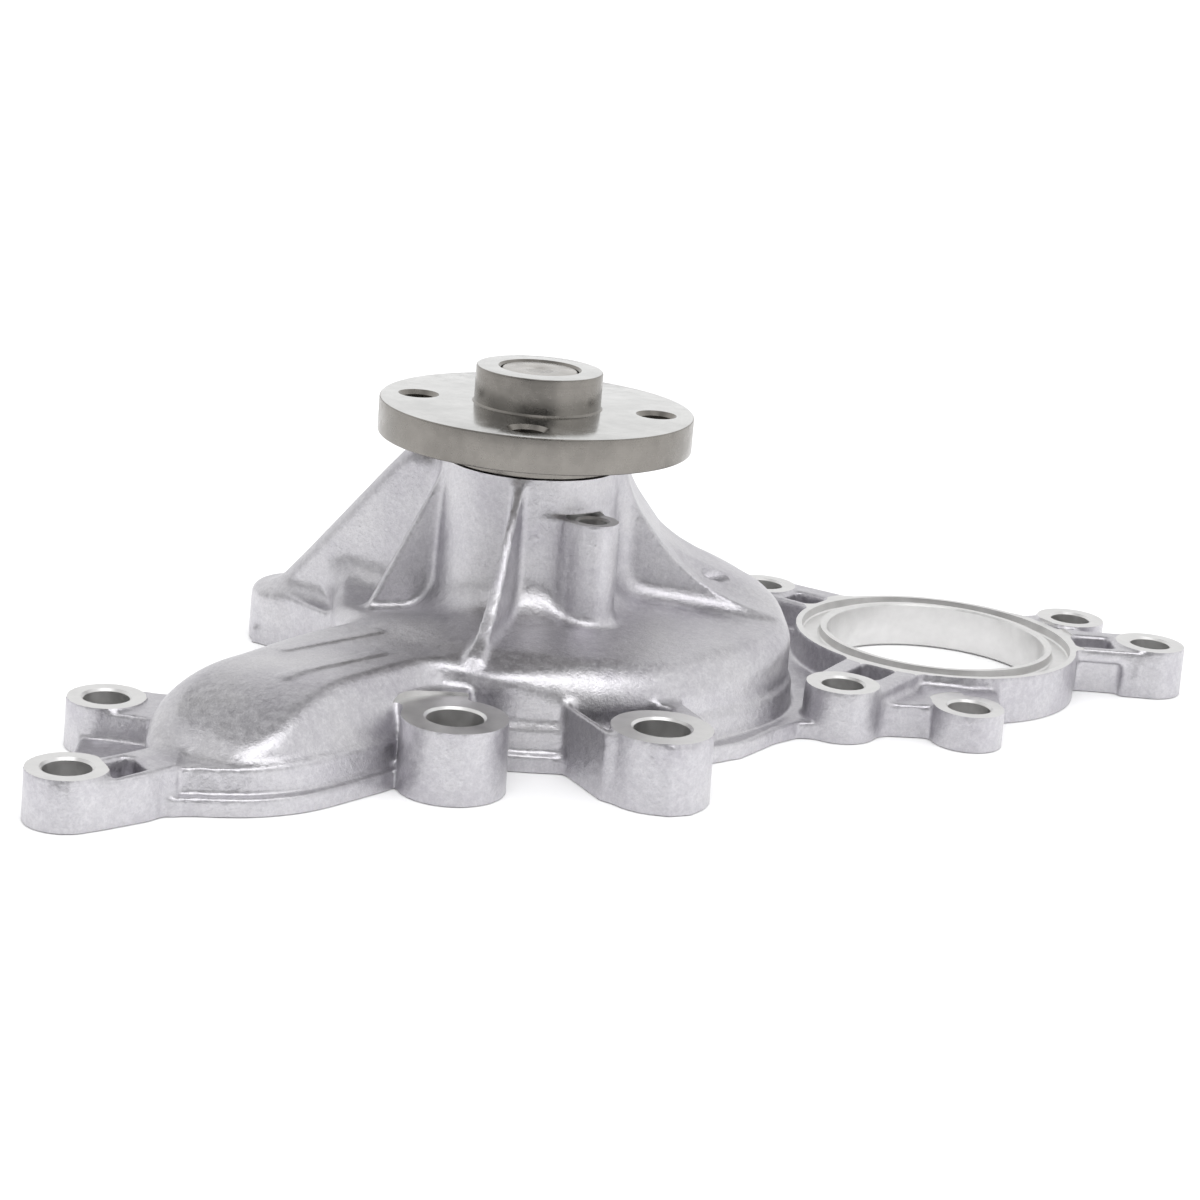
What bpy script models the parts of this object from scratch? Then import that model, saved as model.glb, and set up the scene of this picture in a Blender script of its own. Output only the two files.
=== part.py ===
"""Automotive water pump: die-cast volute body, pulley hub, integral-shaft bearing, face seal and impeller.

Frame: the pump lies on its joint face, with the origin in that face at the middle of the footprint.
+Z runs up the shaft towards the pulley hub, and +X points from the shaft towards the round coolant port.
Everything is modelled round the shaft axis, and an empty at SHAFT_AXIS carries it all into place.
Every length below is in metres, written as a number of millimetres times MM.
"""

import math

import bmesh
import bpy
from mathutils import Matrix, Vector

MM = 0.001
FIT = 0.12 * MM          # radial gap left at each press fit
CLEAR = 0.3 * MM         # gap left between pieces that face each other
WELD = 0.02 * MM         # points closer than this are one point
SHAFT_AXIS = (-33.1, 12.35)  # the shaft axis from the middle of the footprint, in millimetres

# ---------------------------------------------------------------- rotating assembly
FLANGE_RADIUS = 33 * MM
FLANGE_TOP = 63.5 * MM
FLANGE_THICKNESS = 7.4 * MM
FLANGE_CHAMFER = 0.5 * MM
PILOT_RADIUS = 13.3 * MM
PILOT_HEIGHT = 7.8 * MM
NECK_RADIUS = 17.6 * MM
NECK_WALL = 2.0 * MM
NECK_BOTTOM = 51.9 * MM
HUB_BORE_BOTTOM = 52.6 * MM
TAPPED_PITCH_RADIUS = 25 * MM
TAPPED_RADIUS = 3.4 * MM
TAPPED_COUNT = 4
TAPPED_PHASE = math.radians(-3.4)

SHAFT_RADIUS = 7.96 * MM
SHAFT_TOP = 71.0 * MM
SHAFT_STEP = 20 * MM
SHAFT_END_RADIUS = 6.5 * MM
SHAFT_BOTTOM = 1.6 * MM
SHAFT_CHAMFER = 0.6 * MM

# ---------------------------------------------------------------- integral-shaft bearing
BEARING_RADIUS = 15 * MM
BEARING_BORE = 12.3 * MM
BEARING_BOTTOM = 22.5 * MM
BEARING_TOP = 50.5 * MM
BALL_RADIUS = 2.9 * MM
BALL_PITCH = 10.5 * MM
BALL_HEIGHT = 43.5 * MM
BALL_COUNT = 8
GROOVE_RADIUS = 3.1 * MM
ROLLER_RADIUS = 2.0 * MM
ROLLER_LENGTH = 8 * MM
ROLLER_PITCH = 10.1 * MM
ROLLER_HEIGHT = 30.5 * MM
ROLLER_COUNT = 12
CAGE_WALL = 0.8 * MM      # half the radial thickness of a cage
BALL_CAGE_HEIGHT = 7.4 * MM
BALL_WINDOW = (6.3 * MM, 6.2 * MM)     # width and height of each window in the ball cage
ROLLER_CAGE_HEIGHT = 9.8 * MM
ROLLER_WINDOW = (4.4 * MM, 8.5 * MM)
LIP_SEAL_THICKNESS = 1.4 * MM

# ---------------------------------------------------------------- face seal
SEAL_CUP_RADIUS = 12.8 * MM
SEAL_CUP_WALL = 0.7 * MM
SEAL_CUP_BOTTOM = 13.0 * MM
SEAL_CUP_TOP = 18.7 * MM
SEAL_LIP_RADIUS = 14.6 * MM
CARBON_INNER = 7.5 * MM
CARBON_OUTER = 11.2 * MM
CARBON_BOTTOM = 10.1 * MM
CARBON_TOP = 12.2 * MM
SEAT_TOP = 9.8 * MM
SEAT_BOTTOM = 7.4 * MM
SEAT_RADIUS = 11.8 * MM
SEAT_BORE = 6.9 * MM
BELLOWS_INNER = 7.3 * MM
BELLOWS_OUTER = 10.2 * MM
SLINGER_RADIUS = 12.6 * MM
SLINGER_BOTTOM = 20.3 * MM
SPRING_RADIUS = 11.2 * MM
SPRING_WIRE = 0.45 * MM
SPRING_TURNS = 3.5
SPRING_STEPS = 14

# ---------------------------------------------------------------- impeller
IMPELLER_RADIUS = 33 * MM
IMPELLER_PLATE_TOP = 13.4 * MM
IMPELLER_SHEET = 1.6 * MM
IMPELLER_HUB_RADIUS = 10.5 * MM
IMPELLER_HUB_TOP = 5.9 * MM
VANE_COUNT = 7
VANE_BOTTOM = 2.2 * MM
VANE_INNER = 16 * MM
VANE_SWEEP = math.radians(48)
VANE_THICKNESS = 1.6 * MM

# ---------------------------------------------------------------- casting
WALL = 4.5 * MM           # thickness of the volute and duct walls
LIP_TOP = 3.5 * MM        # top of the thin lip round the joint face
RIM_TOP = 9.0 * MM        # top of the thick rim that backs the joint face
SNOUT_TOP = 51.5 * MM
SNOUT_RADIUS = 18.6 * MM
SNOUT_FOOT = 27 * MM
ROOF_CENTRE = 24.5 * MM
BACK_ROOF = (12, 120)     # degrees between which the volute's roof is domed higher
BACK_ROOF_CENTRE = 34 * MM
CHAMBER_TOP = 18 * MM
SEAL_BOSS_RADIUS = 17 * MM
DRAIN_RADIUS = 13.4 * MM  # the ring-shaped chamber between the face seal and the bearing
SEAL_BOSS_BOTTOM = 13.6 * MM
# Every 45 degrees from +X: outer radius, roof height and shoulder radius of the volute, in millimetres.
VOLUTE = [
    (58.3, 20.8, 4),
    (58.6, 22.5, 4.5),
    (56.0, 24.0, 5),
    (50.0, 25.5, 5),
    (40.6, 20.8, 2.5),
    (40.0, 20.1, 8),
    (48.3, 19.5, 10),
    (51.8, 19.5, 7),
]
VOLUTE_STEPS = 36
SHOULDER_STEPS = 3
# The delivery duct, in millimetres, from the volute round its end and back: foot x, foot y, top x, top y.
DUCT = [
    (-18, 4, -18, -6), (-30, -8, -27.2, -14.2), (-41, -20, -37, -21.8), (-50, -32, -46.1, -32.8),
    (-59, -46, -54.5, -45.8), (-66, -58, -62, -57), (-68.8, -67, -65.5, -66.5), (-67.6, -74.5, -64, -72.5),
    (-62.5, -79.8, -59, -76.5), (-52, -82.8, -51, -78), (-43, -81.2, -43, -74.5), (-35.2, -76.2, -38, -69),
    (-28.4, -68.8, -31.6, -61.5), (-19.5, -56.8, -21, -49.5), (-9, -46, -12, -41.5), (2, -43, 0, -38),
    (10, -10, 8, -12),
]
DUCT_SHOULDER = 9.0 * MM  # top of the duct's upright walls
DUCT_TOP = 20.3 * MM
DUCT_BEND_START = 64      # millimetres along DUCT_ALONG where the crown starts to fall
DUCT_BEND = 0.0125        # how steeply it falls, per millimetre
DUCT_ALONG = Vector((-0.25, -0.97)).normalized()
# The ledge round the duct's end, in millimetres.
LEDGE = [
    (-62, -60), (-66, -78), (-61.8, -86), (-59.3, -86), (-56.3, -85.5), (-51.8, -85), (-47.3, -84.1),
    (-43, -82.5), (-38.6, -80), (-35, -77), (-31.5, -73.3), (-28, -69.4), (-24, -64.8), (-19.5, -57.6),
    (-12, -50), (-20, -40),
]
LEDGE_TOP = 8.7 * MM

# Bolt bosses, in millimetres: name, x, y, top, outer radius, hole radius. The strut stands on the back left
# one, so its hole is blind and opens at the joint face; all the others go right through.
BOSSES = [
    ("near_left", -79.1, -92.8, 9.9, 8.1, 4.5),
    ("far_left", -79.2, -52.3, 9.9, 8.1, 4.5),
    ("front_left", -11.1, -62.1, 14.4, 10.9, 5.6),
    ("front_right", 28.8, -58.6, 14.2, 10.9, 5.6),
    ("port_front", 69.0, -10.6, 10.9, 8.2, 4.5),
    ("port_low", 96.4, -10.5, 7.7, 7.8, 4.5),
    ("port_end", 145.3, 38.2, 10.9, 8.2, 4.5),
    ("port_back", 129.9, 55.4, 10.7, 8.2, 4.5),
    ("back_right", 57.5, 66.0, 10.5, 8.0, 4.5),
    ("back", 4.0, 68.0, 10.5, 8.2, 4.5),
    ("back_left", -50.8, 28.5, 11.7, 10.3, 4.5),
]
BLIND_HOLE_DEPTH = 8 * MM
# Blocks that tie three of them in, in millimetres: boss, top, outline.
BLOCKS = [
    ("near_left", 9.2, [(-79, -92), (-76.4, -85.2), (-71, -80.4), (-66, -75), (-60, -77), (-60.2, -87.1),
                        (-62.3, -89.2), (-64.3, -91.7), (-67.7, -94.5), (-72, -97.9), (-76.2, -100.2)]),
    ("front_left", 14.1, [(-21.8, -62), (-23.1, -55), (-22, -44), (-8, -44), (-8.6, -53), (-0.6, -60.5),
                          (-5, -66), (-17, -66)]),
    ("front_right", 13.8, [(9.3, -45), (10.6, -49.4), (14.3, -56.2), (17.9, -63), (24, -66.6),
                           (30.6, -69.2), (35, -67.5), (37.6, -64), (38.6, -59), (37, -49), (31, -36),
                           (14, -36)]),
]
BOSS = {name: (x, y, top, outer, hole) for name, x, y, top, outer, hole in BOSSES}

PORT_CENTRE = (94.8, 33.7)  # millimetres
PORT_RADIUS = 32.2 * MM
PORT_BORE = 24.8 * MM
PORT_TOP = 10.2 * MM
GROOVE_INNER = 26.4 * MM
GROOVE_OUTER = 30.6 * MM
GROOVE_DEPTH = 2.0 * MM

BRACKET_BOSS = (13.2, -17.6)  # millimetres
BRACKET_BOSS_RADIUS = 5.4 * MM
BRACKET_BOSS_TOP = 43.8 * MM
BRACKET_HOLE_RADIUS = 3.0 * MM
BRACKET_HOLE_DEPTH = 14 * MM
WEEP_TURN = math.radians(7.4)
WEEP_RISE = math.radians(14)
WEEP_START = 17.7 * MM    # where its centre line meets the shaft axis
WEEP_RADIUS = 1.8 * MM
WEDGE_FRONT = -1.5 * MM   # the wedge right of the snout, from its front face to its back one
WEDGE_BACK = 19 * MM

ROUND_STEPS = 36
SMALL_STEPS = 28
COLOURS = {
    "casting": ((0.62, 0.62, 0.64), 0.42, 0.9),
    "steel": ((0.50, 0.49, 0.47), 0.30, 1.0),
    "shaft_steel": ((0.66, 0.65, 0.63), 0.22, 1.0),
    "pressed_steel": ((0.56, 0.57, 0.58), 0.35, 1.0),
    "rubber": ((0.03, 0.03, 0.03), 0.7, 0.0),
    "carbon": ((0.05, 0.05, 0.055), 0.5, 0.0),
    "ceramic": ((0.85, 0.83, 0.78), 0.25, 0.0),
    "brass": ((0.72, 0.56, 0.26), 0.3, 1.0),
    "nylon": ((0.35, 0.27, 0.17), 0.6, 0.0),
}


# ================================================================ helpers
def clear_scene():
    for old in list(bpy.data.objects):
        bpy.data.objects.remove(old)


def material(slot):
    """The Principled material for a colour name, made once."""
    made = bpy.data.materials.get(slot)
    if made:
        return made
    colour, roughness, metallic = COLOURS[slot]
    made = bpy.data.materials.new(slot)
    made.use_nodes = True
    shader = made.node_tree.nodes["Principled BSDF"]
    shader.inputs["Base Color"].default_value = (*colour, 1)
    shader.inputs["Roughness"].default_value = roughness
    shader.inputs["Metallic"].default_value = metallic
    made.diffuse_color = (*colour, 1)
    return made


def linked(name, data, location=(0, 0, 0)):
    made = bpy.data.objects.new(name, data)
    made.location = location
    bpy.context.scene.collection.objects.link(made)
    return made


def from_bmesh(name, bm, location=(0, 0, 0)):
    data = bpy.data.meshes.new(name)
    bmesh.ops.recalc_face_normals(bm, faces=bm.faces)
    bm.to_mesh(data)
    bm.free()
    return linked(name, data, location)


def applied(obj):
    """Replaces an object by the mesh that its modifiers or curve settings give, welded and facing out."""
    bpy.context.view_layer.update()
    graph = bpy.context.evaluated_depsgraph_get()
    data = bpy.data.meshes.new_from_object(obj.evaluated_get(graph))
    bm = bmesh.new()
    bm.from_mesh(data)
    bmesh.ops.remove_doubles(bm, verts=bm.verts, dist=0.002 * MM)
    bmesh.ops.recalc_face_normals(bm, faces=bm.faces)
    bm.to_mesh(data)
    bm.free()
    made = bpy.data.objects.new(obj.name, data)
    made.matrix_world = obj.matrix_world.copy()
    bpy.context.scene.collection.objects.link(made)
    name = obj.name
    bpy.data.objects.remove(obj)
    made.name = name
    return made


def cylinder(name, radius, bottom, top, centre=(0, 0), top_radius=None, steps=ROUND_STEPS):
    bm = bmesh.new()
    bmesh.ops.create_cone(
        bm,
        cap_ends=True,
        segments=steps,
        radius1=radius,
        radius2=radius if top_radius is None else top_radius,
        depth=top - bottom,
    )
    return from_bmesh(name, bm, (centre[0], centre[1], (bottom + top) / 2))


def box(name, size, centre, turn=0.0):
    bm = bmesh.new()
    bmesh.ops.create_cube(bm, size=1)
    bmesh.ops.scale(bm, vec=size, verts=bm.verts)
    made = from_bmesh(name, bm, centre)
    made.rotation_euler.z = turn
    return made


def prism(name, outline, bottom, top):
    """A flat outline in metres, extruded between two heights."""
    curve = bpy.data.curves.new(name, "CURVE")
    curve.dimensions = "2D"
    curve.fill_mode = "BOTH"
    curve.extrude = (top - bottom) / 2
    spline = curve.splines.new("POLY")
    spline.points.add(len(outline) - 1)
    for point, (x, y) in zip(spline.points, outline):
        point.co = (x, y, 0, 1)
    spline.use_cyclic_u = True
    return applied(linked(name, curve, (0, 0, (bottom + top) / 2)))


def turned(name, profile, steps=ROUND_STEPS):
    """A (radius, height) profile in metres, turned about Z with a Screw modifier.

    The profile is a closed loop, or runs from axis to axis.
    """
    data = bpy.data.meshes.new(name)
    points = [(r, 0, z) for r, z in profile]
    edges = [(i, i + 1) for i in range(len(points) - 1)]
    if profile[0][0] > 0:
        edges.append((len(points) - 1, 0))
    data.from_pydata(points, edges, [])
    made = linked(name, data)
    screw = made.modifiers.new("turn", "SCREW")
    screw.steps = steps
    screw.render_steps = steps
    screw.use_merge_vertices = True
    screw.merge_threshold = 0.001 * MM
    return applied(made)


def boolean(target, other, operation):
    """Joins or cuts target with other, which is used up."""
    modifier = target.modifiers.new(operation, "BOOLEAN")
    modifier.solver = "MANIFOLD"  # EXACT leaves open edges where this many lumps cross
    modifier.operation = operation
    modifier.object = other
    bpy.context.view_layer.update()
    graph = bpy.context.evaluated_depsgraph_get()
    data = bpy.data.meshes.new_from_object(target.evaluated_get(graph))
    target.modifiers.clear()
    target.data = data
    bpy.data.objects.remove(other)


def tidied(obj):
    """Welds the tiny edges that Booleans leave behind and merges flat neighbours into single faces."""
    bm = bmesh.new()
    bm.from_mesh(obj.data)
    bmesh.ops.remove_doubles(bm, verts=bm.verts, dist=WELD)
    bmesh.ops.dissolve_degenerate(bm, edges=bm.edges, dist=WELD)
    bmesh.ops.dissolve_limit(bm, angle_limit=math.radians(0.2), verts=bm.verts, edges=bm.edges)
    bmesh.ops.triangulate(bm, faces=[f for f in bm.faces if len(f.verts) > 4])
    bm.to_mesh(obj.data)
    bm.free()


def join(target, *others):
    for other in others:
        boolean(target, other, "UNION")


def cut(target, *others):
    for other in others:
        boolean(target, other, "DIFFERENCE")


def in_mm(points):
    return [(x * MM, y * MM) for x, y in points]


def polar(radius, angle, height=0.0):
    return Vector((radius * math.cos(angle), radius * math.sin(angle), height))


def finished(obj, slot, sharp=35):
    """Gives a piece its material and smooth shading that stays sharp at real edges."""
    obj.data.materials.clear()
    obj.data.materials.append(material(slot))
    obj.data.shade_smooth()
    obj.data.set_sharp_from_angle(angle=math.radians(sharp))
    return obj


# ================================================================ casting
class Casting:
    """Collects the casting's lumps and cutters and joins them at the end."""

    def __init__(self):
        self.lumps = []
        self.cutters = []

    def foot(self):
        """A different depth below the joint face for each lump, so that no two share a plane."""
        return -(1.0 + 0.11 * len(self.lumps)) * MM

    def add(self, obj):
        self.lumps.append(obj)

    def remove(self, obj):
        self.cutters.append(obj)

    def solid(self):
        body = self.lumps[0]
        join(body, *self.lumps[1:])
        cut(body, *self.cutters)
        return body


def volute_at(angle):
    """Outer radius and roof height in metres, shoulder radius in millimetres, eased between the rows."""
    place = (math.degrees(angle) % 360) / 45
    row = int(place)
    share = (1 - math.cos((place - row) * math.pi)) / 2
    here, after = VOLUTE[row % 8], VOLUTE[(row + 1) % 8]
    radius, roof, shoulder = (a + (b - a) * share for a, b in zip(here, after))
    return radius * MM, roof * MM, shoulder


def volute(name, inset, drop, bottom, centre_height, back_height):
    """The volute as a closed loft round the shaft axis: inset from the outer wall, drop below the roof.

    The roof climbs to centre_height, and its back right part, which is domed, towards back_height.
    """
    bm = bmesh.new()
    rings = []
    for step in range(VOLUTE_STEPS):
        angle = 2 * math.pi * step / VOLUTE_STEPS
        radius, roof, shoulder = volute_at(angle)
        radius -= inset
        roof -= drop
        shoulder = max(shoulder * MM - inset, 2 * MM)
        section = [(radius, bottom)]
        for i in range(SHOULDER_STEPS + 1):
            turn = math.pi / 2 * i / SHOULDER_STEPS
            inward, down = shoulder * (1 - math.cos(turn)), shoulder * (1 - math.sin(turn))
            section.append((radius - inward, roof - down))
        domed = BACK_ROOF[0] <= math.degrees(angle) <= BACK_ROOF[1]
        climb, height = (0.8, back_height) if domed else (0.35, centre_height)
        section.append((0.55 * radius, roof + climb * (height - roof)))
        rings.append([bm.verts.new(polar(r, angle, z)) for r, z in section])
    for step, ring in enumerate(rings):
        after = rings[(step + 1) % VOLUTE_STEPS]
        for i in range(len(ring) - 1):
            bm.faces.new((ring[i], after[i], after[i + 1], ring[i + 1]))
    bm.faces.new([ring[0] for ring in reversed(rings)])
    centre = bm.verts.new((0, 0, centre_height))
    for step, ring in enumerate(rings):
        bm.faces.new((ring[-1], rings[(step + 1) % VOLUTE_STEPS][-1], centre))
    return from_bmesh(name, bm)


def duct(name, inset, drop, bottom):
    """The delivery duct as a loft from its foot up to its falling crown.

    inset moves its sides in from the outer wall and drop lowers its top.
    """
    foot = inset_outline(in_mm([(x, y) for x, y, _, _ in DUCT]), inset)
    crown = inset_outline(in_mm([(x, y) for _, _, x, y in DUCT]), inset / 2)
    rings = [[(x, y, bottom) for x, y in foot], [(x, y, DUCT_SHOULDER - drop) for x, y in foot], []]
    for (foot_x, foot_y), (x, y) in zip(foot, crown):
        along = Vector((x, y)).dot(DUCT_ALONG) / MM
        top = max(DUCT_TOP - DUCT_BEND * max(along - DUCT_BEND_START, 0) ** 2 * MM, DUCT_SHOULDER + 1 * MM)
        share = (top - DUCT_SHOULDER) / (DUCT_TOP - DUCT_SHOULDER)
        rings[2].append((foot_x + (x - foot_x) * share, foot_y + (y - foot_y) * share, top - drop))
    bm = bmesh.new()
    rings = [[bm.verts.new(point) for point in ring] for ring in rings]
    for low, high in zip(rings, rings[1:]):
        for i in range(len(low)):
            after = (i + 1) % len(low)
            bm.faces.new((low[i], low[after], high[after], high[i]))
    bm.faces.new(rings[0][::-1])
    bm.faces.new(rings[-1])
    bmesh.ops.triangulate(bm, faces=[face for face in bm.faces if len(face.verts) > 4])
    return from_bmesh(name, bm)


def inset_outline(outline, inset):
    """The outline moved inwards by a distance, corner by corner."""
    count = len(outline)
    area = sum(outline[i][0] * outline[(i + 1) % count][1] - outline[(i + 1) % count][0] * outline[i][1]
               for i in range(count))
    side = 1 if area > 0 else -1
    moved = []
    for i in range(count):
        before, here, after = (Vector(outline[(i + k) % count]) for k in (-1, 0, 1))
        one = (here - before).normalized()
        two = (after - here).normalized()
        normal_one = Vector((-one.y, one.x)) * side
        normal_two = Vector((-two.y, two.x)) * side
        bisector = (normal_one + normal_two).normalized()
        reach = inset / max(bisector.dot(normal_one), 0.5)
        moved.append(tuple(here + bisector * reach))
    return moved


def web(name, start, end, start_width, end_width, bottom, top):
    """A straight bar between two points, as wide as said at each end."""
    a, b = Vector(start), Vector(end)
    side = (b - a).normalized()
    side = Vector((-side.y, side.x))
    start_side, end_side = side * start_width / 2, side * end_width / 2
    outline = [a + start_side, a - start_side, b - end_side, b + end_side]
    return prism(name, [tuple(p) for p in outline], bottom, top)


def rib(name, profile, thickness, angle):
    """A flat rib: a (radius, height) outline in millimetres stood on edge and turned to its angle."""
    made = prism(name, in_mm(profile), -thickness / 2, thickness / 2)
    made.data.transform(Matrix.Rotation(math.pi / 2, 4, "X"))
    made.rotation_euler.z = angle
    return made


def snout_profile():
    """The bearing housing's outside: a straight barrel on a flared foot, closed down the axis."""
    foot = [
        (SNOUT_FOOT, ROOF_CENTRE - 6 * MM),
        (SNOUT_FOOT, ROOF_CENTRE - 1 * MM),
        (SNOUT_FOOT - 4 * MM, ROOF_CENTRE + 1 * MM),
        (SNOUT_RADIUS + 2 * MM, ROOF_CENTRE + 4.5 * MM),
        (SNOUT_RADIUS + 0.6 * MM, ROOF_CENTRE + 9 * MM),
        (SNOUT_RADIUS, SNOUT_TOP - 1 * MM),
        (SNOUT_RADIUS - 1 * MM, SNOUT_TOP),
    ]
    return [(0, SNOUT_TOP)] + foot[::-1] + [(0, ROOF_CENTRE - 6 * MM)]


def add_joint_plate(casting):
    """The thin lip and thick rim that carry the joint face."""
    lip = [polar(volute_at(2 * math.pi * i / VOLUTE_STEPS)[0] + 2.5 * MM, 2 * math.pi * i / VOLUTE_STEPS)
           for i in range(VOLUTE_STEPS)]
    casting.add(prism("lip", [(p.x, p.y) for p in lip], casting.foot(), LIP_TOP))
    casting.add(prism("ledge", in_mm(LEDGE), casting.foot(), LEDGE_TOP))
    duct_lip = inset_outline(in_mm([(x, y) for x, y, _, _ in DUCT]), -1.2 * MM)
    casting.add(prism("duct_lip", duct_lip, casting.foot(), LIP_TOP + 0.1 * MM))
    ledge_lip = inset_outline(in_mm(LEDGE), -1.0 * MM)
    casting.add(prism("ledge_lip", ledge_lip, casting.foot(), LIP_TOP + 0.25 * MM))
    left = in_mm([(-83.5, -52), (-72, -45), (-58, -60), (-66, -88), (-79, -92), (-83.5, -92)])
    casting.add(prism("left_lip", left, casting.foot(), LIP_TOP + 0.05 * MM))
    right = in_mm([(38, -38), (47, -32.5), (54, -22), (60, -17), (72, -16), (76, 6), (66, 24), (66, 50),
                   (60, 70), (48, 66), (30, 44), (30, 0)])
    casting.add(prism("right_lip", right, casting.foot(), LIP_TOP + 0.15 * MM))
    back = in_mm([(-60, 22), (-52, 38), (-30, 52), (-6, 74), (14, 74), (50, 63), (30, 20), (-30, 10)])
    casting.add(prism("back_lip", back, casting.foot(), LIP_TOP + 0.2 * MM))


def add_bosses(casting):
    """Bolt bosses and the webs that tie them to the volute, duct and port."""
    for name, x, y, top, outer, _ in BOSSES:
        casting.add(cylinder(name, outer * MM, casting.foot(), top * MM, (x * MM, y * MM), steps=24))

    def tie(boss, end, start_width, end_width, top):
        x, y = BOSS[boss][:2]
        casting.add(web("tie", in_mm([(x, y)])[0], in_mm([end])[0], start_width * MM, end_width * MM,
                        casting.foot(), top * MM))

    for name, top, outline in BLOCKS:
        casting.add(prism(name + "_block", in_mm(outline), casting.foot(), top * MM))
    tie("far_left", (-64, -54.6), 15.4, 16, 9.3)
    tie("port_front", (84, 13), 16, 18, 10.5)
    tie("port_low", (96, 6), 15.4, 18, 7.5)
    tie("port_end", (116, 38.2), 16.2, 16.2, 10.5)
    tie("port_back", (112, 45), 15, 18, 9.8)
    tie("back_right", (76, 53), 15, 17, 10.2)
    tie("back_right", (40, 40), 12, 16, 8.5)
    tie("back", (2, 48), 14, 22, 9.5)
    tie("back_left", (-36, 18), 17, 26, 12.3)


def add_ribs(casting):
    """Ribs between the snout and the roof, the wide right wedge and the strut to the back left boss."""
    inner = 12
    right = [(inner, 18), (54, 18), (54, 20.6), (46.5, 23.6), (42, 25.8), (37.5, 28.3), (33, 31.8),
             (28.3, 36.4), (23.5, 42.6), (20.5, 47.8), (19.4, 50.6), (inner, 50.6)]
    wedge = rib("right_wedge", right, WEDGE_BACK - WEDGE_FRONT, 0)
    wedge.location.y = (WEDGE_FRONT + WEDGE_BACK) / 2
    casting.add(wedge)
    front = [(inner, 14), (44, 14), (43.4, 21.5), (40.7, 23.1), (35.9, 27.1), (31.3, 32.2), (26.5, 39.4),
             (22.1, 45.7), (19.2, 50.4), (inner, 50.4)]
    front_rib = rib("front_rib", front, 2.4 * MM, math.radians(-104))
    front_rib.location.x = 2.3 * MM
    casting.add(front_rib)
    left = [(inner, 14), (33, 14), (32.6, 19.8), (18.9, 48.6), (18.6, 50.4), (inner, 50.4)]
    casting.add(rib("left_rib", left, 2.0 * MM, math.radians(190)))
    back = [(inner, 18), (50, 18), (50, 24), (36, 30.5), (26, 39), (20, 50), (inner, 50)]
    casting.add(rib("back_rib", back, 3 * MM, math.radians(62)))
    rear = [(inner, 18), (46, 18), (46, 25.5), (34, 31), (25, 39.6), (19.8, 49.8), (inner, 49.8)]
    casting.add(rib("rear_rib", rear, 2.8 * MM, math.radians(108)))
    strut = [(10, 4), (66.4, 4), (66.4, 12), (62.6, 16.4), (51, 28.6), (38.6, 40.2), (32.5, 47),
             (28, 50.4), (10, 50.8)]
    casting.add(rib("strut", strut, 11 * MM, math.radians(152)))


def add_port(casting):
    x, y = (value * MM for value in PORT_CENTRE)
    casting.add(cylinder("port_ring", PORT_RADIUS, casting.foot(), PORT_TOP, (x, y), steps=60))
    bore = cylinder("port_bore", PORT_BORE, -6 * MM, PORT_TOP + 5 * MM, (x, y), steps=60)
    low, high = PORT_TOP - GROOVE_DEPTH, PORT_TOP + 3 * MM
    profile = [(GROOVE_OUTER, high), (GROOVE_OUTER, low), (GROOVE_INNER, low), (GROOVE_INNER, high)]
    groove = turned("port_groove", profile, 60)
    groove.location = (x, y, 0)
    return bore, groove


def add_bracket_boss(casting):
    """The tall blind-tapped boss on the front of the snout."""
    x, y = in_mm([BRACKET_BOSS])[0]
    bottom = ROOF_CENTRE - 4.4 * MM
    casting.add(cylinder("bracket_boss", BRACKET_BOSS_RADIUS, bottom, BRACKET_BOSS_TOP, (x, y),
                         top_radius=BRACKET_BOSS_RADIUS - 0.3 * MM, steps=28))
    casting.add(web("bracket_web", (x - 2.2 * MM, y + 0.6 * MM), (4 * MM, -8 * MM), 9.4 * MM, 12 * MM,
                    bottom - 0.3 * MM, BRACKET_BOSS_TOP - 0.4 * MM))
    casting.remove(cylinder("bracket_hole", BRACKET_HOLE_RADIUS, BRACKET_BOSS_TOP - BRACKET_HOLE_DEPTH,
                            BRACKET_BOSS_TOP + 5 * MM, (x, y), steps=24))


def cut_pockets(casting):
    """Lightening pockets in the webs, as blind boxes."""
    # centre x, centre y, size x, size y, turn in degrees, floor height
    pockets = [
        (23.2, -45.2, 12.4, 8.6, -4, 5.5),
        (-69.8, -88.4, 9.0, 5.4, -52, 4.0),
        (77.2, 3.0, 8.0, 8.5, 57, 4.5),
        (131.5, 38.6, 9.5, 8.0, 0, 6.0),
        (67.3, 59.6, 8.5, 6.5, -36, 4.5),
    ]
    for x, y, wide, deep, turn, floor in pockets:
        top = 16 * MM
        casting.remove(box("pocket", (wide * MM, deep * MM, top - floor * MM),
                           (x * MM, y * MM, (top + floor * MM) / 2), math.radians(turn)))
    casting.remove(box("arm_recess", (10 * MM, 6 * MM, 12 * MM), (131.5 * MM, 29.2 * MM, 0.8 * MM)))


def cut_cavity(casting):
    """The volute chamber and duct, open at the joint face, and the bores up the snout."""
    casting.remove(volute("chamber", WALL, WALL + 0.5 * MM, -8 * MM, CHAMBER_TOP, CHAMBER_TOP))
    casting.remove(duct("channel", WALL, WALL, -9 * MM))


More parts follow.
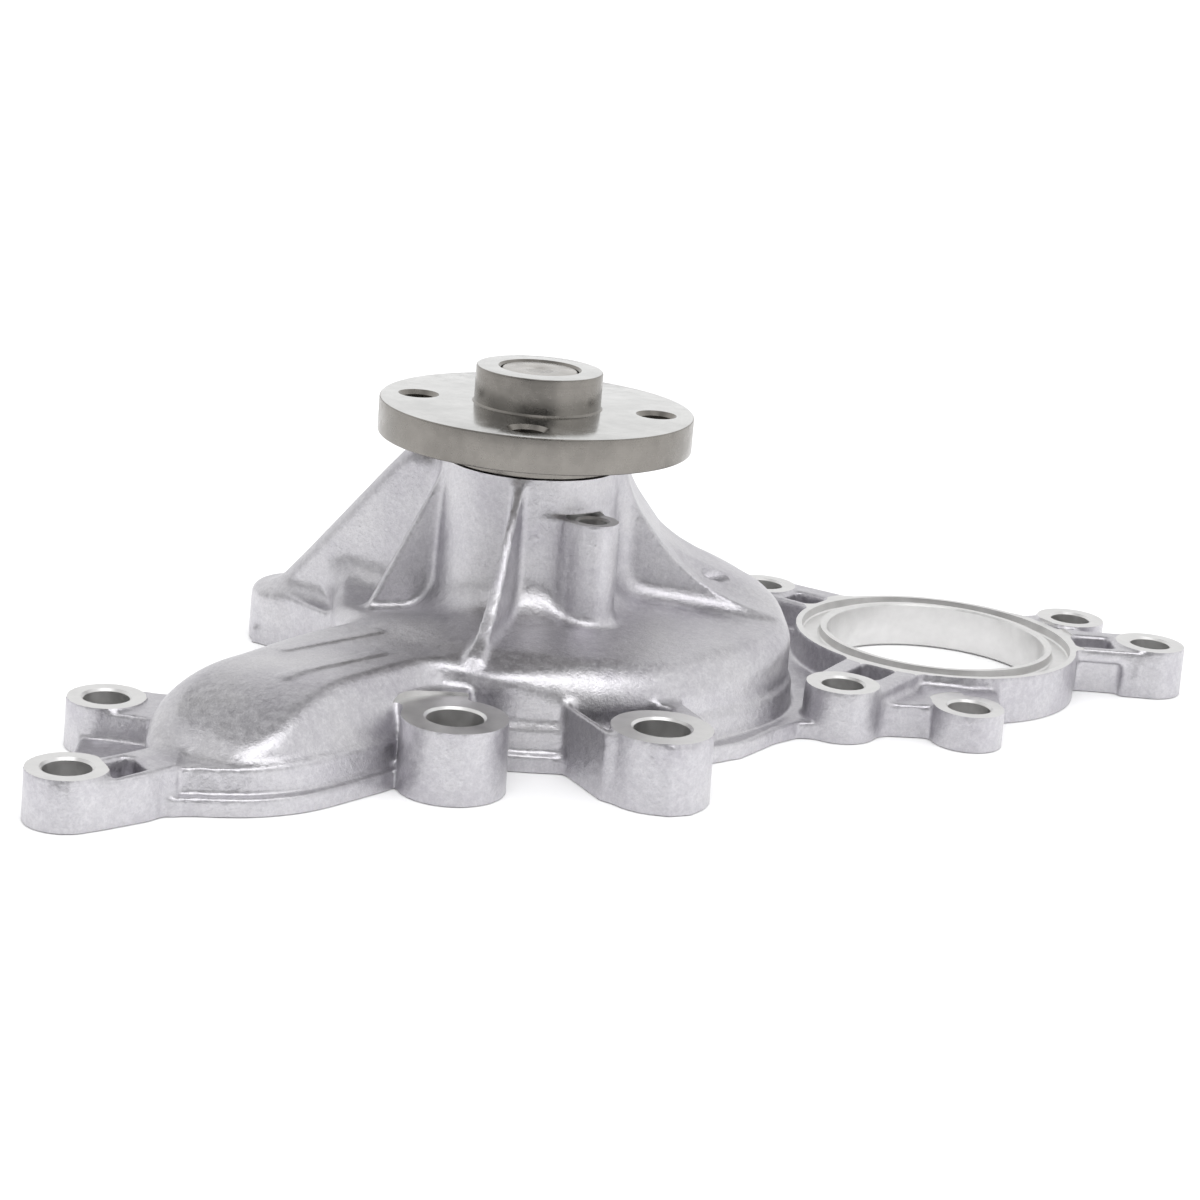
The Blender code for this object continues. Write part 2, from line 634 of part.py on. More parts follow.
def cut_bores(casting):
    above_snout = SNOUT_TOP + 6 * MM
    bearing_seat = BEARING_BOTTOM - 0.3 * MM
    casting.remove(cylinder("bearing_bore", BEARING_RADIUS + FIT, bearing_seat, above_snout))
    casting.remove(cylinder("drain_chamber", DRAIN_RADIUS, SEAL_CUP_TOP + CLEAR, BEARING_BOTTOM + 4 * MM))
    casting.remove(cylinder("seal_bore", SEAL_CUP_RADIUS + FIT, -5 * MM, SEAL_CUP_TOP + 0.8 * MM))
    weep = cylinder("weep", WEEP_RADIUS, 9 * MM, 62 * MM, steps=16)
    weep.matrix_world = (Matrix.Translation((0, 0, WEEP_START)) @ Matrix.Rotation(WEEP_TURN, 4, "Z")
                         @ Matrix.Rotation(math.pi / 2 - WEEP_RISE, 4, "Y") @ weep.matrix_basis)
    casting.remove(weep)


def pump_body():
    casting = Casting()
    casting.add(volute("volute", 0, 0, casting.foot(), ROOF_CENTRE, BACK_ROOF_CENTRE))
    casting.add(duct("duct", 0, 0, casting.foot()))
    add_joint_plate(casting)
    rim = [polar(volute_at(2 * math.pi * i / VOLUTE_STEPS)[0] + 0.8 * MM, 2 * math.pi * i / VOLUTE_STEPS)
           for i in range(VOLUTE_STEPS)]
    casting.add(prism("rim", [(p.x, p.y) for p in rim], casting.foot(), RIM_TOP))
    add_bosses(casting)
    port_bore, port_groove = add_port(casting)
    casting.add(turned("snout", snout_profile()))
    add_ribs(casting)
    add_bracket_boss(casting)
    cut_cavity(casting)
    cut_pockets(casting)
    casting.remove(port_bore)
    casting.remove(port_groove)
    casting.remove(box("below", (400 * MM, 400 * MM, 20 * MM), (30 * MM, 0, -10 * MM)))
    body = casting.solid()
    join(body, cylinder("seal_boss", SEAL_BOSS_RADIUS, SEAL_BOSS_BOTTOM, ROOF_CENTRE - 2 * MM))
    bores = Casting()
    cut_bores(bores)
    cut(body, *bores.cutters)
    for name, x, y, top, _, hole in BOSSES:
        end = BLIND_HOLE_DEPTH if name == "back_left" else (top + 6) * MM
        cut(body, cylinder(name + "_hole", hole * MM, -6 * MM, end, (x * MM, y * MM), steps=20))
    body.name = "pump_body"
    tidied(body)
    return finished(body, "casting")


# ================================================================ rotating pieces
def pulley_hub():
    bottom = FLANGE_TOP - FLANGE_THICKNESS
    top = FLANGE_TOP + PILOT_HEIGHT
    c = FLANGE_CHAMFER
    bore = SHAFT_RADIUS + FIT
    profile = [
        (bore, top), (PILOT_RADIUS - c, top), (PILOT_RADIUS, top - c), (PILOT_RADIUS, FLANGE_TOP),
        (FLANGE_RADIUS - c, FLANGE_TOP), (FLANGE_RADIUS, FLANGE_TOP - c), (FLANGE_RADIUS, bottom + c),
        (FLANGE_RADIUS - c, bottom), (NECK_RADIUS, bottom), (NECK_RADIUS, NECK_BOTTOM),
        (NECK_RADIUS - NECK_WALL, NECK_BOTTOM), (NECK_RADIUS - NECK_WALL, NECK_BOTTOM + 2.4 * MM),
        (11 * MM, NECK_BOTTOM + 2.4 * MM), (11 * MM, HUB_BORE_BOTTOM), (bore, HUB_BORE_BOTTOM),
    ]
    hub = turned("pulley_hub", profile, 56)
    for i in range(TAPPED_COUNT):
        angle = TAPPED_PHASE + 2 * math.pi * i / TAPPED_COUNT
        centre = polar(TAPPED_PITCH_RADIUS, angle)
        cut(hub, cylinder("tapped", TAPPED_RADIUS, bottom - 3 * MM, FLANGE_TOP + 3 * MM, centre, steps=20))
    return finished(hub, "steel")


def groove_arc(centre_radius, height, radius, inwards, steps=4):
    """Points of a race groove's arc, from top to bottom."""
    half = math.radians(48)
    way = -1 if inwards else 1
    points = []
    for i in range(steps + 1):
        turn = half - 2 * half * i / steps
        reach = way * radius * math.cos(turn)
        points.append((centre_radius + reach, height + radius * math.sin(turn)))
    return points


def shaft():
    c = SHAFT_CHAMFER
    race = [p for p in groove_arc(BALL_PITCH, BALL_HEIGHT, GROOVE_RADIUS, True) if p[0] < SHAFT_RADIUS]
    profile = [(0, SHAFT_TOP), (SHAFT_RADIUS - c, SHAFT_TOP), (SHAFT_RADIUS, SHAFT_TOP - c)] + race + [
        (SHAFT_RADIUS, SHAFT_STEP + c), (SHAFT_END_RADIUS, SHAFT_STEP),
        (SHAFT_END_RADIUS, SHAFT_BOTTOM + c), (SHAFT_END_RADIUS - c, SHAFT_BOTTOM), (0, SHAFT_BOTTOM),
    ]
    return finished(turned("shaft", profile), "shaft_steel")


def impeller():
    """Pressed sheet impeller: hub, dished plate and swept vanes that reach down to the joint face."""
    t = IMPELLER_SHEET
    top = IMPELLER_PLATE_TOP
    profile = [
        (SHAFT_END_RADIUS + FIT, IMPELLER_HUB_TOP), (IMPELLER_HUB_RADIUS, IMPELLER_HUB_TOP),
        (13.6 * MM, IMPELLER_HUB_TOP + 0.4 * MM), (17 * MM, top), (IMPELLER_RADIUS, top),
        (IMPELLER_RADIUS, top - t), (18 * MM, top - t), (14.8 * MM, IMPELLER_HUB_TOP - 1.2 * MM),
        (IMPELLER_HUB_RADIUS, IMPELLER_HUB_TOP - 1.4 * MM),
        (IMPELLER_HUB_RADIUS, 2 * MM), (SHAFT_END_RADIUS + FIT, 2 * MM),
    ]
    wheel = turned("impeller", profile)
    for i in range(VANE_COUNT):
        start = 2 * math.pi * i / VANE_COUNT
        inner_side, outer_side = [], []
        for k in range(6):
            share = k / 5
            radius = VANE_INNER + share * (IMPELLER_RADIUS - 0.4 * MM - VANE_INNER)
            centre = polar(radius, start - VANE_SWEEP * share)
            ahead = polar(radius + 0.1 * MM, start - VANE_SWEEP * (share + 0.006))
            side = (ahead - centre).normalized()
            side = Vector((-side.y, side.x, 0)) * VANE_THICKNESS / 2
            inner_side.append(centre + side)
            outer_side.append(centre - side)
        outline = [(p.x, p.y) for p in inner_side + outer_side[::-1]]
        join(wheel, prism("vane", outline, VANE_BOTTOM, top - t / 2))
    return finished(wheel, "pressed_steel")


def slinger():
    """Rubber disc on the shaft that throws leaked coolant into the drain chamber."""
    bore, outer, low = SHAFT_RADIUS + FIT, SLINGER_RADIUS, SLINGER_BOTTOM
    profile = [
        (bore, low + 1.6 * MM), (outer - 3.4 * MM, low + 1.6 * MM), (outer, low + 0.6 * MM), (outer, low),
        (outer - 3.0 * MM, low + 0.6 * MM), (bore, low + 0.4 * MM),
    ]
    return finished(turned("slinger", profile, SMALL_STEPS), "rubber")


def seat_ring():
    c = 0.4 * MM
    profile = [(SEAT_BORE, SEAT_TOP), (SEAT_RADIUS - c, SEAT_TOP), (SEAT_RADIUS, SEAT_TOP - c),
               (SEAT_RADIUS, SEAT_BOTTOM), (SEAT_BORE, SEAT_BOTTOM)]
    return finished(turned("seat_ring", profile, SMALL_STEPS), "ceramic")


def seat_cup():
    bottom = IMPELLER_HUB_TOP + CLEAR
    outer = SEAT_RADIUS + 1.3 * MM
    inner, top = SEAT_RADIUS + FIT, SEAT_BOTTOM + 1.4 * MM
    profile = [(inner, top), (outer, top), (outer, bottom + 0.6 * MM), (outer - 0.6 * MM, bottom),
               (SEAT_BORE, bottom), (SEAT_BORE, SEAT_BOTTOM - FIT), (inner, SEAT_BOTTOM - FIT)]
    return finished(turned("seat_cup", profile, SMALL_STEPS), "rubber")


# ================================================================ pieces fixed in the housing
def bearing_outer_ring():
    race = [p for p in groove_arc(BALL_PITCH, BALL_HEIGHT, GROOVE_RADIUS, False) if p[0] > BEARING_BORE]
    c = 0.7 * MM
    profile = [(BEARING_BORE, BEARING_TOP), (BEARING_RADIUS - c, BEARING_TOP),
               (BEARING_RADIUS, BEARING_TOP - c), (BEARING_RADIUS, BEARING_BOTTOM + c),
               (BEARING_RADIUS - c, BEARING_BOTTOM), (BEARING_BORE, BEARING_BOTTOM)] + race[::-1]
    return finished(turned("bearing_outer_ring", profile), "shaft_steel")


def lip_seal(name, bottom):
    outer, inner = BEARING_BORE - FIT, SHAFT_RADIUS + 0.15 * MM
    top = bottom + LIP_SEAL_THICKNESS
    lip = bottom + 0.5 * MM
    profile = [(inner, top - 0.3 * MM), (inner + 0.8 * MM, top), (outer, top), (outer, bottom),
               (inner + 1.2 * MM, bottom), (inner + 0.5 * MM, lip), (inner, lip)]
    return finished(turned(name, profile, SMALL_STEPS), "rubber")


def seal_cup():
    """Pressed metal cup that holds the spring-loaded side of the face seal."""
    wall = SEAL_CUP_WALL
    bore = SHAFT_RADIUS + 0.6 * MM
    lip_top, lip_bottom = SEAL_CUP_BOTTOM + 0.2 * MM, SEAL_CUP_BOTTOM - 0.5 * MM
    profile = [
        (bore, SEAL_CUP_TOP), (SEAL_CUP_RADIUS, SEAL_CUP_TOP), (SEAL_CUP_RADIUS, lip_top),
        (SEAL_LIP_RADIUS, lip_top), (SEAL_LIP_RADIUS, lip_bottom), (SEAL_CUP_RADIUS - wall, lip_bottom),
        (SEAL_CUP_RADIUS - wall, SEAL_CUP_TOP - wall), (bore, SEAL_CUP_TOP - wall),
    ]
    return finished(turned("seal_cup", profile), "brass")


def seal_bellows():
    top = SEAL_CUP_TOP - SEAL_CUP_WALL - 0.15 * MM
    bottom = CARBON_TOP + 0.15 * MM
    inner, outer = BELLOWS_INNER, BELLOWS_OUTER
    profile = [(inner, top), (outer - 0.3 * MM, top), (outer - 0.3 * MM, top - 1.2 * MM),
               (outer - 1.4 * MM, top - 2.0 * MM), (outer, bottom + 1.6 * MM), (outer, bottom),
               (inner, bottom), (inner, bottom + 1.0 * MM), (inner + 0.4 * MM, top - 2.2 * MM),
               (inner, top - 1.0 * MM)]
    return finished(turned("seal_bellows", profile, SMALL_STEPS), "rubber")


def seal_spring():
    bottom, top = CARBON_TOP + 0.9 * MM, SEAL_CUP_TOP - SEAL_CUP_WALL - 0.7 * MM
    curve = bpy.data.curves.new("seal_spring", "CURVE")
    curve.dimensions = "3D"
    curve.bevel_depth = SPRING_WIRE
    curve.bevel_resolution = 1
    curve.use_fill_caps = True
    spline = curve.splines.new("POLY")
    steps = int(SPRING_TURNS * SPRING_STEPS)
    spline.points.add(steps)
    for i, point in enumerate(spline.points):
        turn, height = 2 * math.pi * i / SPRING_STEPS, bottom + (top - bottom) * i / steps
        point.co = (*polar(SPRING_RADIUS, turn, height), 1)
    return finished(applied(linked("seal_spring", curve)), "shaft_steel", 60)


def carbon_ring():
    shoulder = CARBON_BOTTOM + 0.9 * MM
    profile = [(CARBON_INNER, CARBON_TOP), (CARBON_OUTER, CARBON_TOP), (CARBON_OUTER, shoulder),
               (CARBON_OUTER - 0.7 * MM, CARBON_BOTTOM), (CARBON_INNER + 0.7 * MM, CARBON_BOTTOM),
               (CARBON_INNER, shoulder)]
    return finished(turned("carbon_ring", profile, SMALL_STEPS), "carbon")


# ================================================================ rolling elements
def balls():
    bm = bmesh.new()
    bmesh.ops.create_uvsphere(bm, u_segments=12, v_segments=7, radius=BALL_RADIUS)
    data = bpy.data.meshes.new("ball")
    bm.to_mesh(data)
    bm.free()
    for i in range(BALL_COUNT):
        angle = 2 * math.pi * (i + 0.5) / BALL_COUNT
        made = linked(f"ball_{i + 1}", data, polar(BALL_PITCH, angle, BALL_HEIGHT))
        finished(made, "shaft_steel", 80)


def rollers():
    for i in range(ROLLER_COUNT):
        angle = 2 * math.pi * (i + 0.5) / ROLLER_COUNT
        centre = polar(ROLLER_PITCH, angle)
        made = cylinder(f"roller_{i + 1}", ROLLER_RADIUS, ROLLER_HEIGHT - ROLLER_LENGTH / 2,
                        ROLLER_HEIGHT + ROLLER_LENGTH / 2, centre, steps=12)
        finished(made, "shaft_steel")


def cage(name, pitch, height, depth, count, window):
    """A plain ring with one window for each rolling element."""
    low, high = height - depth / 2, height + depth / 2
    ring = turned(name, [(pitch - CAGE_WALL, high), (pitch + CAGE_WALL, high), (pitch + CAGE_WALL, low),
                         (pitch - CAGE_WALL, low)])
    for i in range(count):
        angle = 2 * math.pi * (i + 0.5) / count
        centre = polar(pitch, angle, height)
        cut(ring, box("window", (8 * MM, *window), centre, angle))
    return finished(ring, "nylon")


def cages():
    cage("ball_cage", BALL_PITCH, BALL_HEIGHT, BALL_CAGE_HEIGHT, BALL_COUNT, BALL_WINDOW)
    cage("roller_cage", ROLLER_PITCH, ROLLER_HEIGHT, ROLLER_CAGE_HEIGHT, ROLLER_COUNT, ROLLER_WINDOW)


# ================================================================ assembly
def main():
    clear_scene()
    pump_body()
    pulley_hub()
    shaft()
    impeller()
    slinger()
    seat_ring()
    seat_cup()
    bearing_outer_ring()
    lip_seal("front_lip_seal", BEARING_TOP - 0.6 * MM - LIP_SEAL_THICKNESS)
    lip_seal("rear_lip_seal", BEARING_BOTTOM + 0.8 * MM)
    seal_cup()
    seal_bellows()
    seal_spring()
    carbon_ring()
    balls()
    rollers()
    cages()
    axis = linked("shaft_axis", None, (*in_mm([SHAFT_AXIS])[0], 0))
    pump = bpy.data.collections.new("water_pump")
    bpy.context.scene.collection.children.link(pump)
    for made in list(bpy.context.scene.collection.objects):
        bpy.context.scene.collection.objects.unlink(made)
        pump.objects.link(made)
        if made is not axis:
            made.parent = axis


main()
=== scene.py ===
"""Looks for the automotive water pump: the die-cast body, the turned steel hub and shaft, the impeller and seals.

The body is modelled as a signed distance field round the shaft axis, so that its lumps, ribs and webs run into
each other with cast fillets. It is then meshed, and machined with crisp Boolean cuts. Lengths are in millimetres
from the foot of the shaft axis, unless a name says otherwise.
"""

import math

import bmesh
import bpy
import numpy as np
import openvdb
from mathutils import Matrix, Vector


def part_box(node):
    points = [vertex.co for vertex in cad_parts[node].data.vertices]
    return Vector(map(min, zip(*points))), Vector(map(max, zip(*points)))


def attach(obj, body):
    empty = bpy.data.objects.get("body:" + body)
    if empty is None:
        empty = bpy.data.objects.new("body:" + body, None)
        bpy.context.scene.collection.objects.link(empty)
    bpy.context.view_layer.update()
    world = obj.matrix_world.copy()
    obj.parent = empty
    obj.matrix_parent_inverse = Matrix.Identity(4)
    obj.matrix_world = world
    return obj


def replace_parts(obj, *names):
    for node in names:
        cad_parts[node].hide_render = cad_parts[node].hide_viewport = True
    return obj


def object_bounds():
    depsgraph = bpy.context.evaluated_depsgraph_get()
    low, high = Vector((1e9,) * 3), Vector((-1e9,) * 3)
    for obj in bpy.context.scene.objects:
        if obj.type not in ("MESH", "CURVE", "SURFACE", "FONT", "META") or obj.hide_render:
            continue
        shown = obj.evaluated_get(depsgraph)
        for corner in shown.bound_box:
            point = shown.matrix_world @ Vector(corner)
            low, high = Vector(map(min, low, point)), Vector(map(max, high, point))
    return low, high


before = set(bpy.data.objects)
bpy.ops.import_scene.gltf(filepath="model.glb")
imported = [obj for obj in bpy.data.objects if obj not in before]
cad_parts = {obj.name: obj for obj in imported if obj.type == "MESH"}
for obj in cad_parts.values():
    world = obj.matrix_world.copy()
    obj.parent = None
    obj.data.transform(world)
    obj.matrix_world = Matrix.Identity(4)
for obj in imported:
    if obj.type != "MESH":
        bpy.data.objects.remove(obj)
cad_low, cad_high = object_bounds()

MM = 0.001
shaft_low, shaft_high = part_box("shaft")
AXIS = Vector(((shaft_low.x + shaft_high.x) / 2, (shaft_low.y + shaft_high.y) / 2, 0))

# ---------------------------------------------------------------- the casting's sizes
BODY_TRIANGLES = 180000
STEP = 0.6   # grid spacing of the distance field
FAR = 30.0                          # distance given to empty space
DRAFT = 0.022                       # how much a cast wall leans in for each millimetre of height
FLOOR = -1.6                        # the field reaches this far below the joint face, which is then cut flat
WALL = 4.5
ROOF_DROP = 5.0
CHAMBER_TOP = 18.0
FRONT_RISE, LEFT_RISE, BACK_RISE = 6.0, 0.6, 12.0   # how far the roof climbs from its rim to the shaft axis
LIP_TOP = 3.5
LIP_REACH = 2.3
RIM_TOP = 9.0
SNOUT_RADIUS = 18.6
SNOUT_TOP = 51.5
# Every 45 degrees from +X: outer radius, roof height and shoulder radius of the volute.
VOLUTE = [(58.3, 20.8, 4), (58.6, 22.5, 4.5), (56.0, 24.0, 5), (50.0, 25.5, 5),
          (40.6, 17.6, 2.5), (40.0, 20.9, 6), (48.3, 20.5, 9), (51.8, 19.8, 7)]
DUCT_FOOT = [(-12, 6), (-30, -8), (-41, -20), (-50, -32), (-59, -46), (-66, -58), (-68.8, -67), (-67.6, -74.5),
             (-62.5, -79.8), (-52, -82.8), (-43, -81.2), (-35.2, -76.2), (-28.4, -68.8), (-19.5, -56.8), (-9, -46),
             (6, -34)]
LEDGE = [(-62, -60), (-66, -78), (-61.8, -86), (-59.3, -86), (-56.3, -85.5), (-51.8, -85), (-47.3, -84.1),
         (-43, -82.5), (-38.6, -80), (-35, -77), (-31.5, -73.3), (-28, -69.4), (-24, -64.8), (-19.5, -57.6),
         (-12, -50), (-20, -40)]
LEDGE_TOP = 8.7
DUCT_CROWN = [(-12, -2), (-27.2, -14.2), (-37, -21.8), (-46.1, -32.8), (-54.5, -45.8), (-62, -57), (-66, -66.5),
              (-64.5, -74), (-58, -78.5), (-51, -79), (-45.5, -76.5), (-40.5, -71), (-31.6, -61.5), (-26.3, -55.4),
              (-19.1, -47.1), (-11, -43), (4, -32)]
DUCT_SHOULDER, DUCT_TOP = 9.0, 20.3   # the duct's walls lean in between these heights
DUCT_ALONG = Vector((-0.25, -0.97)).normalized()
DUCT_ACROSS = Vector((0.835, -0.55)).normalized()
DUCT_BEND_START, DUCT_BEND = 64.0, 0.0125

# name: x, y, top, outer radius, hole radius, spot-face radius
BOSSES = {
    "near_left": (-79.1, -92.8, 9.9, 8.1, 4.5, 9.4),
    "far_left": (-79.2, -52.3, 9.9, 8.1, 4.5, 9.4),
    "front_left": (-11.1, -62.1, 14.4, 10.9, 5.6, 13.5),
    "front_right": (28.8, -58.6, 14.2, 10.6, 5.6, 11.2),
    "port_front": (69.0, -10.6, 10.9, 8.2, 4.5, 9.4),
    "port_low": (96.4, -10.5, 7.7, 7.8, 4.5, 9.2),
    "port_end": (145.3, 38.2, 10.9, 8.2, 4.5, 9.4),
    "port_back": (129.9, 55.4, 10.7, 8.2, 4.5, 9.0),
    "back_right": (57.5, 66.0, 10.5, 8.0, 4.5, 9.2),
    "back": (4.0, 68.0, 10.5, 8.2, 4.5, 9.4),
    "back_left": (-50.8, 28.5, 11.7, 10.3, 4.5, 0),
}
BLIND_DEPTH = 8.0
# Two plain raised bars on the duct's crown: centre and direction in degrees
MARKS = [((-37.4, -38.4), 44.3), ((-35.6, -53.1), 46.1)]
MARK_LENGTH, MARK_WIDTH = 26.0, 3.0
MARK_RISE = 0.4
# boss, end x, end y, width at the boss, width at the end, top
TIES = [
    ("far_left", -64, -54.6, 15.4, 16, 9.3), ("port_front", 84, 13, 16, 18, 10.5), ("port_low", 96, 6, 15, 18, 7.5),
    ("port_end", 116, 38.2, 16, 16, 10.5), ("port_back", 112, 45, 14.5, 18, 9.8),
    ("back_right", 76, 53, 15, 17, 10.2), ("back_right", 40, 40, 12, 16, 8.5),
    ("back", 2, 48, 14, 22, 9.5), ("back_left", -36, 18, 17, 24, 12.3),
]
# Blocks that tie other bosses in: name, top, fillet, outline
BLOCKS = [
    ("near_left", 9.2, 1.2, [(-79, -92), (-76.4, -85.2), (-71, -80.4), (-66, -75), (-60, -77), (-60.2, -87.1),
                             (-62.3, -89.2), (-64.3, -91.7), (-67.7, -94.5), (-72, -97.9), (-76.2, -100.2)]),
    ("front_left", 14.9, 1.6, [(-20.6, -63.5), (-23.1, -55), (-22, -44), (-8, -44), (-8.6, -53), (-0.6, -60.5),
                               (-5, -66), (-17, -66)]),
    ("port_front", 7.2, 1.6, [(70, -13), (79, -11.6), (89, -10.8), (97, -12), (96, 4), (74, 4)]),
]
# Outlines that the lip joins to the volute: duct side, port arm, back
LIP_OUTLINES = [
    [(-83.3, -52), (-72, -45), (-58, -60), (-66, -88), (-79, -92), (-82.5, -80)],
    [(38, -38), (47, -32.5), (54, -22), (60, -17), (72, -16), (76, 6), (66, 24), (66, 50), (60, 70), (48, 66),
     (30, 44), (30, 0)],
    [(-60, 22), (-52, 38), (-30, 52), (-6, 74), (14, 74), (50, 63), (30, 20), (-30, 10)],
]
# The block under the front right boss, and the pocket in it
FRONT_RIGHT = [(9.3, -45), (10.6, -49.4), (14.3, -56.2), (17.9, -63), (24, -66.6), (30.6, -69.2), (35, -67.5),
               (37.6, -64), (38.6, -59), (37, -49), (31, -36), (14, -36)]
FRONT_POCKET = [(10.6, -44), (12, -49.2), (15.5, -55.8), (18.6, -61.3), (26, -64), (33, -58), (31, -44.5), (22, -40)]
NEAR_POCKET = [(-74.1, -87), (-70.6, -83.3), (-68.6, -83.7), (-65.3, -88.6), (-70.3, -94.4)]
# Pockets: centre x, y, half length, half width, turn in degrees, floor
POCKETS = [(76.0, 0.8, 5.0, 3.9, 57, 4.5), (131.8, 37.2, 4.4, 4.3, 0, 6.0),
           (66.9, 57.2, 4.2, 3.4, -36, 4.5)]
PORT = (94.8, 33.7)
PORT_RADIUS, PORT_BORE, PORT_TOP = 32.2, 24.8, 10.2
GROOVE_INNER, GROOVE_OUTER, GROOVE_DEPTH = 26.4, 30.6, 2.0
BRACKET = (13.2, -17.6)
BRACKET_RADIUS, BRACKET_TOP, BRACKET_HOLE, BRACKET_DEPTH = 5.4, 43.8, 3.0, 14.0
WEEP_START, WEEP_TURN, WEEP_RISE = 17.7, math.radians(7.4), math.radians(14)
# Ribs: x where its plane crosses y = 0, turn in degrees, half thickness, (reach, height) outline
RIBS = [
    (2.3, -104, 0.75, [(10, 12), (45.2, 12), (45, 20.4), (43.4, 21.5), (40.7, 23.1), (35.9, 27.1),
                       (31.3, 32.2), (26.5, 39.4), (22.1, 45.7), (19.2, 50.4), (10, 50.4)]),
    (0, 190, 0.8, [(10, 12), (36, 12), (32.6, 19.8), (18.9, 48.6), (18.6, 50.6), (10, 50.6)]),
    (0, 62, 1.5, [(10, 14), (50, 14), (50, 24), (36, 30.5), (26, 39), (20, 50), (10, 50)]),
    (0, 108, 1.4, [(10, 14), (46, 14), (46, 25.5), (34, 31), (25, 39.6), (19.8, 49.8), (10, 49.8)]),
]
WEDGE = [(8, 12), (54, 12), (54, 20.6), (46.5, 23.6), (42, 25.8), (37.5, 28.3), (33, 31.8), (28.3, 36.4),
         (23.5, 42.6), (20.5, 47.8), (19.4, 50.6), (8, 50.6)]
WEDGE_FRONT, WEDGE_BACK = -1.5, 19.0
STRUT_TURN = 152
STRUT = [(8, 2), (66, 2), (66, 8), (62.5, 11.6), (53, 22.2), (43.4, 33.4), (34.5, 43.8), (30, 48.8), (27.4, 50.4),
         (8, 50.8)]
STRUT_HALF = 5.5


# ================================================================ distance fields
class Field:
    """A signed distance on a regular grid, negative inside."""

    def __init__(self, low, high):
        self.low = np.array(low, float)
        self.shape = tuple(int(math.ceil((b - a) / STEP)) + 1 for a, b in zip(low, high))
        self.values = np.full(self.shape, FAR, np.float32)

    def window(self, low, high):
        """The part of the grid between two corners, and its x, y and z as arrays that broadcast."""
        first = [max(0, int((a - b) / STEP)) for a, b in zip(low, self.low)]
        last = [min(n, int((a - b) / STEP) + 2) for a, b, n in zip(high, self.low, self.shape)]
        lines = [(self.low[k] + STEP * np.arange(first[k], last[k])).astype(np.float32) for k in range(3)]
        points = lines[0][:, None, None], lines[1][None, :, None], lines[2][None, None, :]
        return tuple(slice(a, b) for a, b in zip(first, last)), points

    def join(self, low, high, shape, fillet=2.5):
        here, points = self.window([v - 6 for v in low], [v + 6 for v in high])
        self.values[here] = round_union(self.values[here], shape(*points), fillet)

    def cut(self, low, high, shape, fillet=0.8):
        here, points = self.window([v - 4 for v in low], [v + 4 for v in high])
        self.values[here] = round_common(self.values[here], -shape(*points), fillet)


def round_union(a, b, r):
    return np.maximum(r, np.minimum(a, b)) - np.hypot(np.maximum(r - a, 0), np.maximum(r - b, 0))


def round_common(a, b, r):
    return np.minimum(-r, np.maximum(a, b)) + np.hypot(np.maximum(r + a, 0), np.maximum(r + b, 0))


def eased(value, low, high):
    share = np.clip((value - low) / (high - low), 0, 1)
    return share * share * (3 - 2 * share)


def circle(x, y, centre, radius):
    return np.hypot(x - centre[0], y - centre[1]) - radius


def bar(x, y, start, end, start_width, end_width):
    """Distance to a straight bar whose half width changes along it, with round ends."""
    dx, dy = end[0] - start[0], end[1] - start[1]
    share = np.clip(((x - start[0]) * dx + (y - start[1]) * dy) / (dx * dx + dy * dy), 0, 1)
    gap = np.hypot(x - start[0] - share * dx, y - start[1] - share * dy)
    return gap - (start_width + (end_width - start_width) * share) / 2


def polygon(x, y, points):
    """Signed distance to a closed outline."""
    nearest = np.full(np.broadcast(x, y).shape, 1e9, np.float32)
    inside = np.zeros(nearest.shape, bool)
    for (ax, ay), (bx, by) in zip(points, points[1:] + points[:1]):
        ex, ey = bx - ax, by - ay
        share = np.clip(((x - ax) * ex + (y - ay) * ey) / (ex * ex + ey * ey), 0, 1)
        nearest = np.minimum(nearest, (x - ax - share * ex) ** 2 + (y - ay - share * ey) ** 2)
        if ay != by:
            crosses = (ay > y) != (by > y)
            inside ^= crosses & (x < ax + ex * (y - ay) / ey)
    return np.where(inside, -1, 1) * np.sqrt(nearest)


def rounded_box(x, y, centre, half_length, half_width, turn, corner=1.5):
    c, s = math.cos(math.radians(turn)), math.sin(math.radians(turn))
    u = np.abs((x - centre[0]) * c + (y - centre[1]) * s) - half_length + corner
    v = np.abs((y - centre[1]) * c - (x - centre[0]) * s) - half_width + corner
    return np.hypot(np.maximum(u, 0), np.maximum(v, 0)) + np.minimum(np.maximum(u, v), 0) - corner


def plate(flat, z, top, edge=0.9):
    """A flat outline raised from below the joint face to a top with a rounded edge."""
    return round_common(flat + DRAFT * z, z - top, edge)


def smooth_outline(points, each=4):
    """A closed outline through the points, rounded as a Catmull-Rom curve."""
    made = []
    count = len(points)
    for i in range(count):
        a, b, c, d = (Vector(points[(i + k) % count]) for k in (-1, 0, 1, 2))
        for j in range(each):
            t = j / each
            p = ((2 * b) + (c - a) * t + (2 * a - 5 * b + 4 * c - d) * t ** 2 + (3 * b - a - 3 * c + d) * t ** 3) / 2
            made.append(tuple(p))
    return made


def volute_at(angle):
    """Outer radius, roof height and shoulder radius at an angle, eased between the table's rows."""
    place = np.degrees(angle) % 360 / 45
    row = place.astype(int) % 8
    share = (1 - np.cos((place - np.floor(place)) * math.pi)) / 2
    table = np.array(VOLUTE)
    return [table[row, k] * (1 - share) + table[(row + 1) % 8, k] * share for k in range(3)]


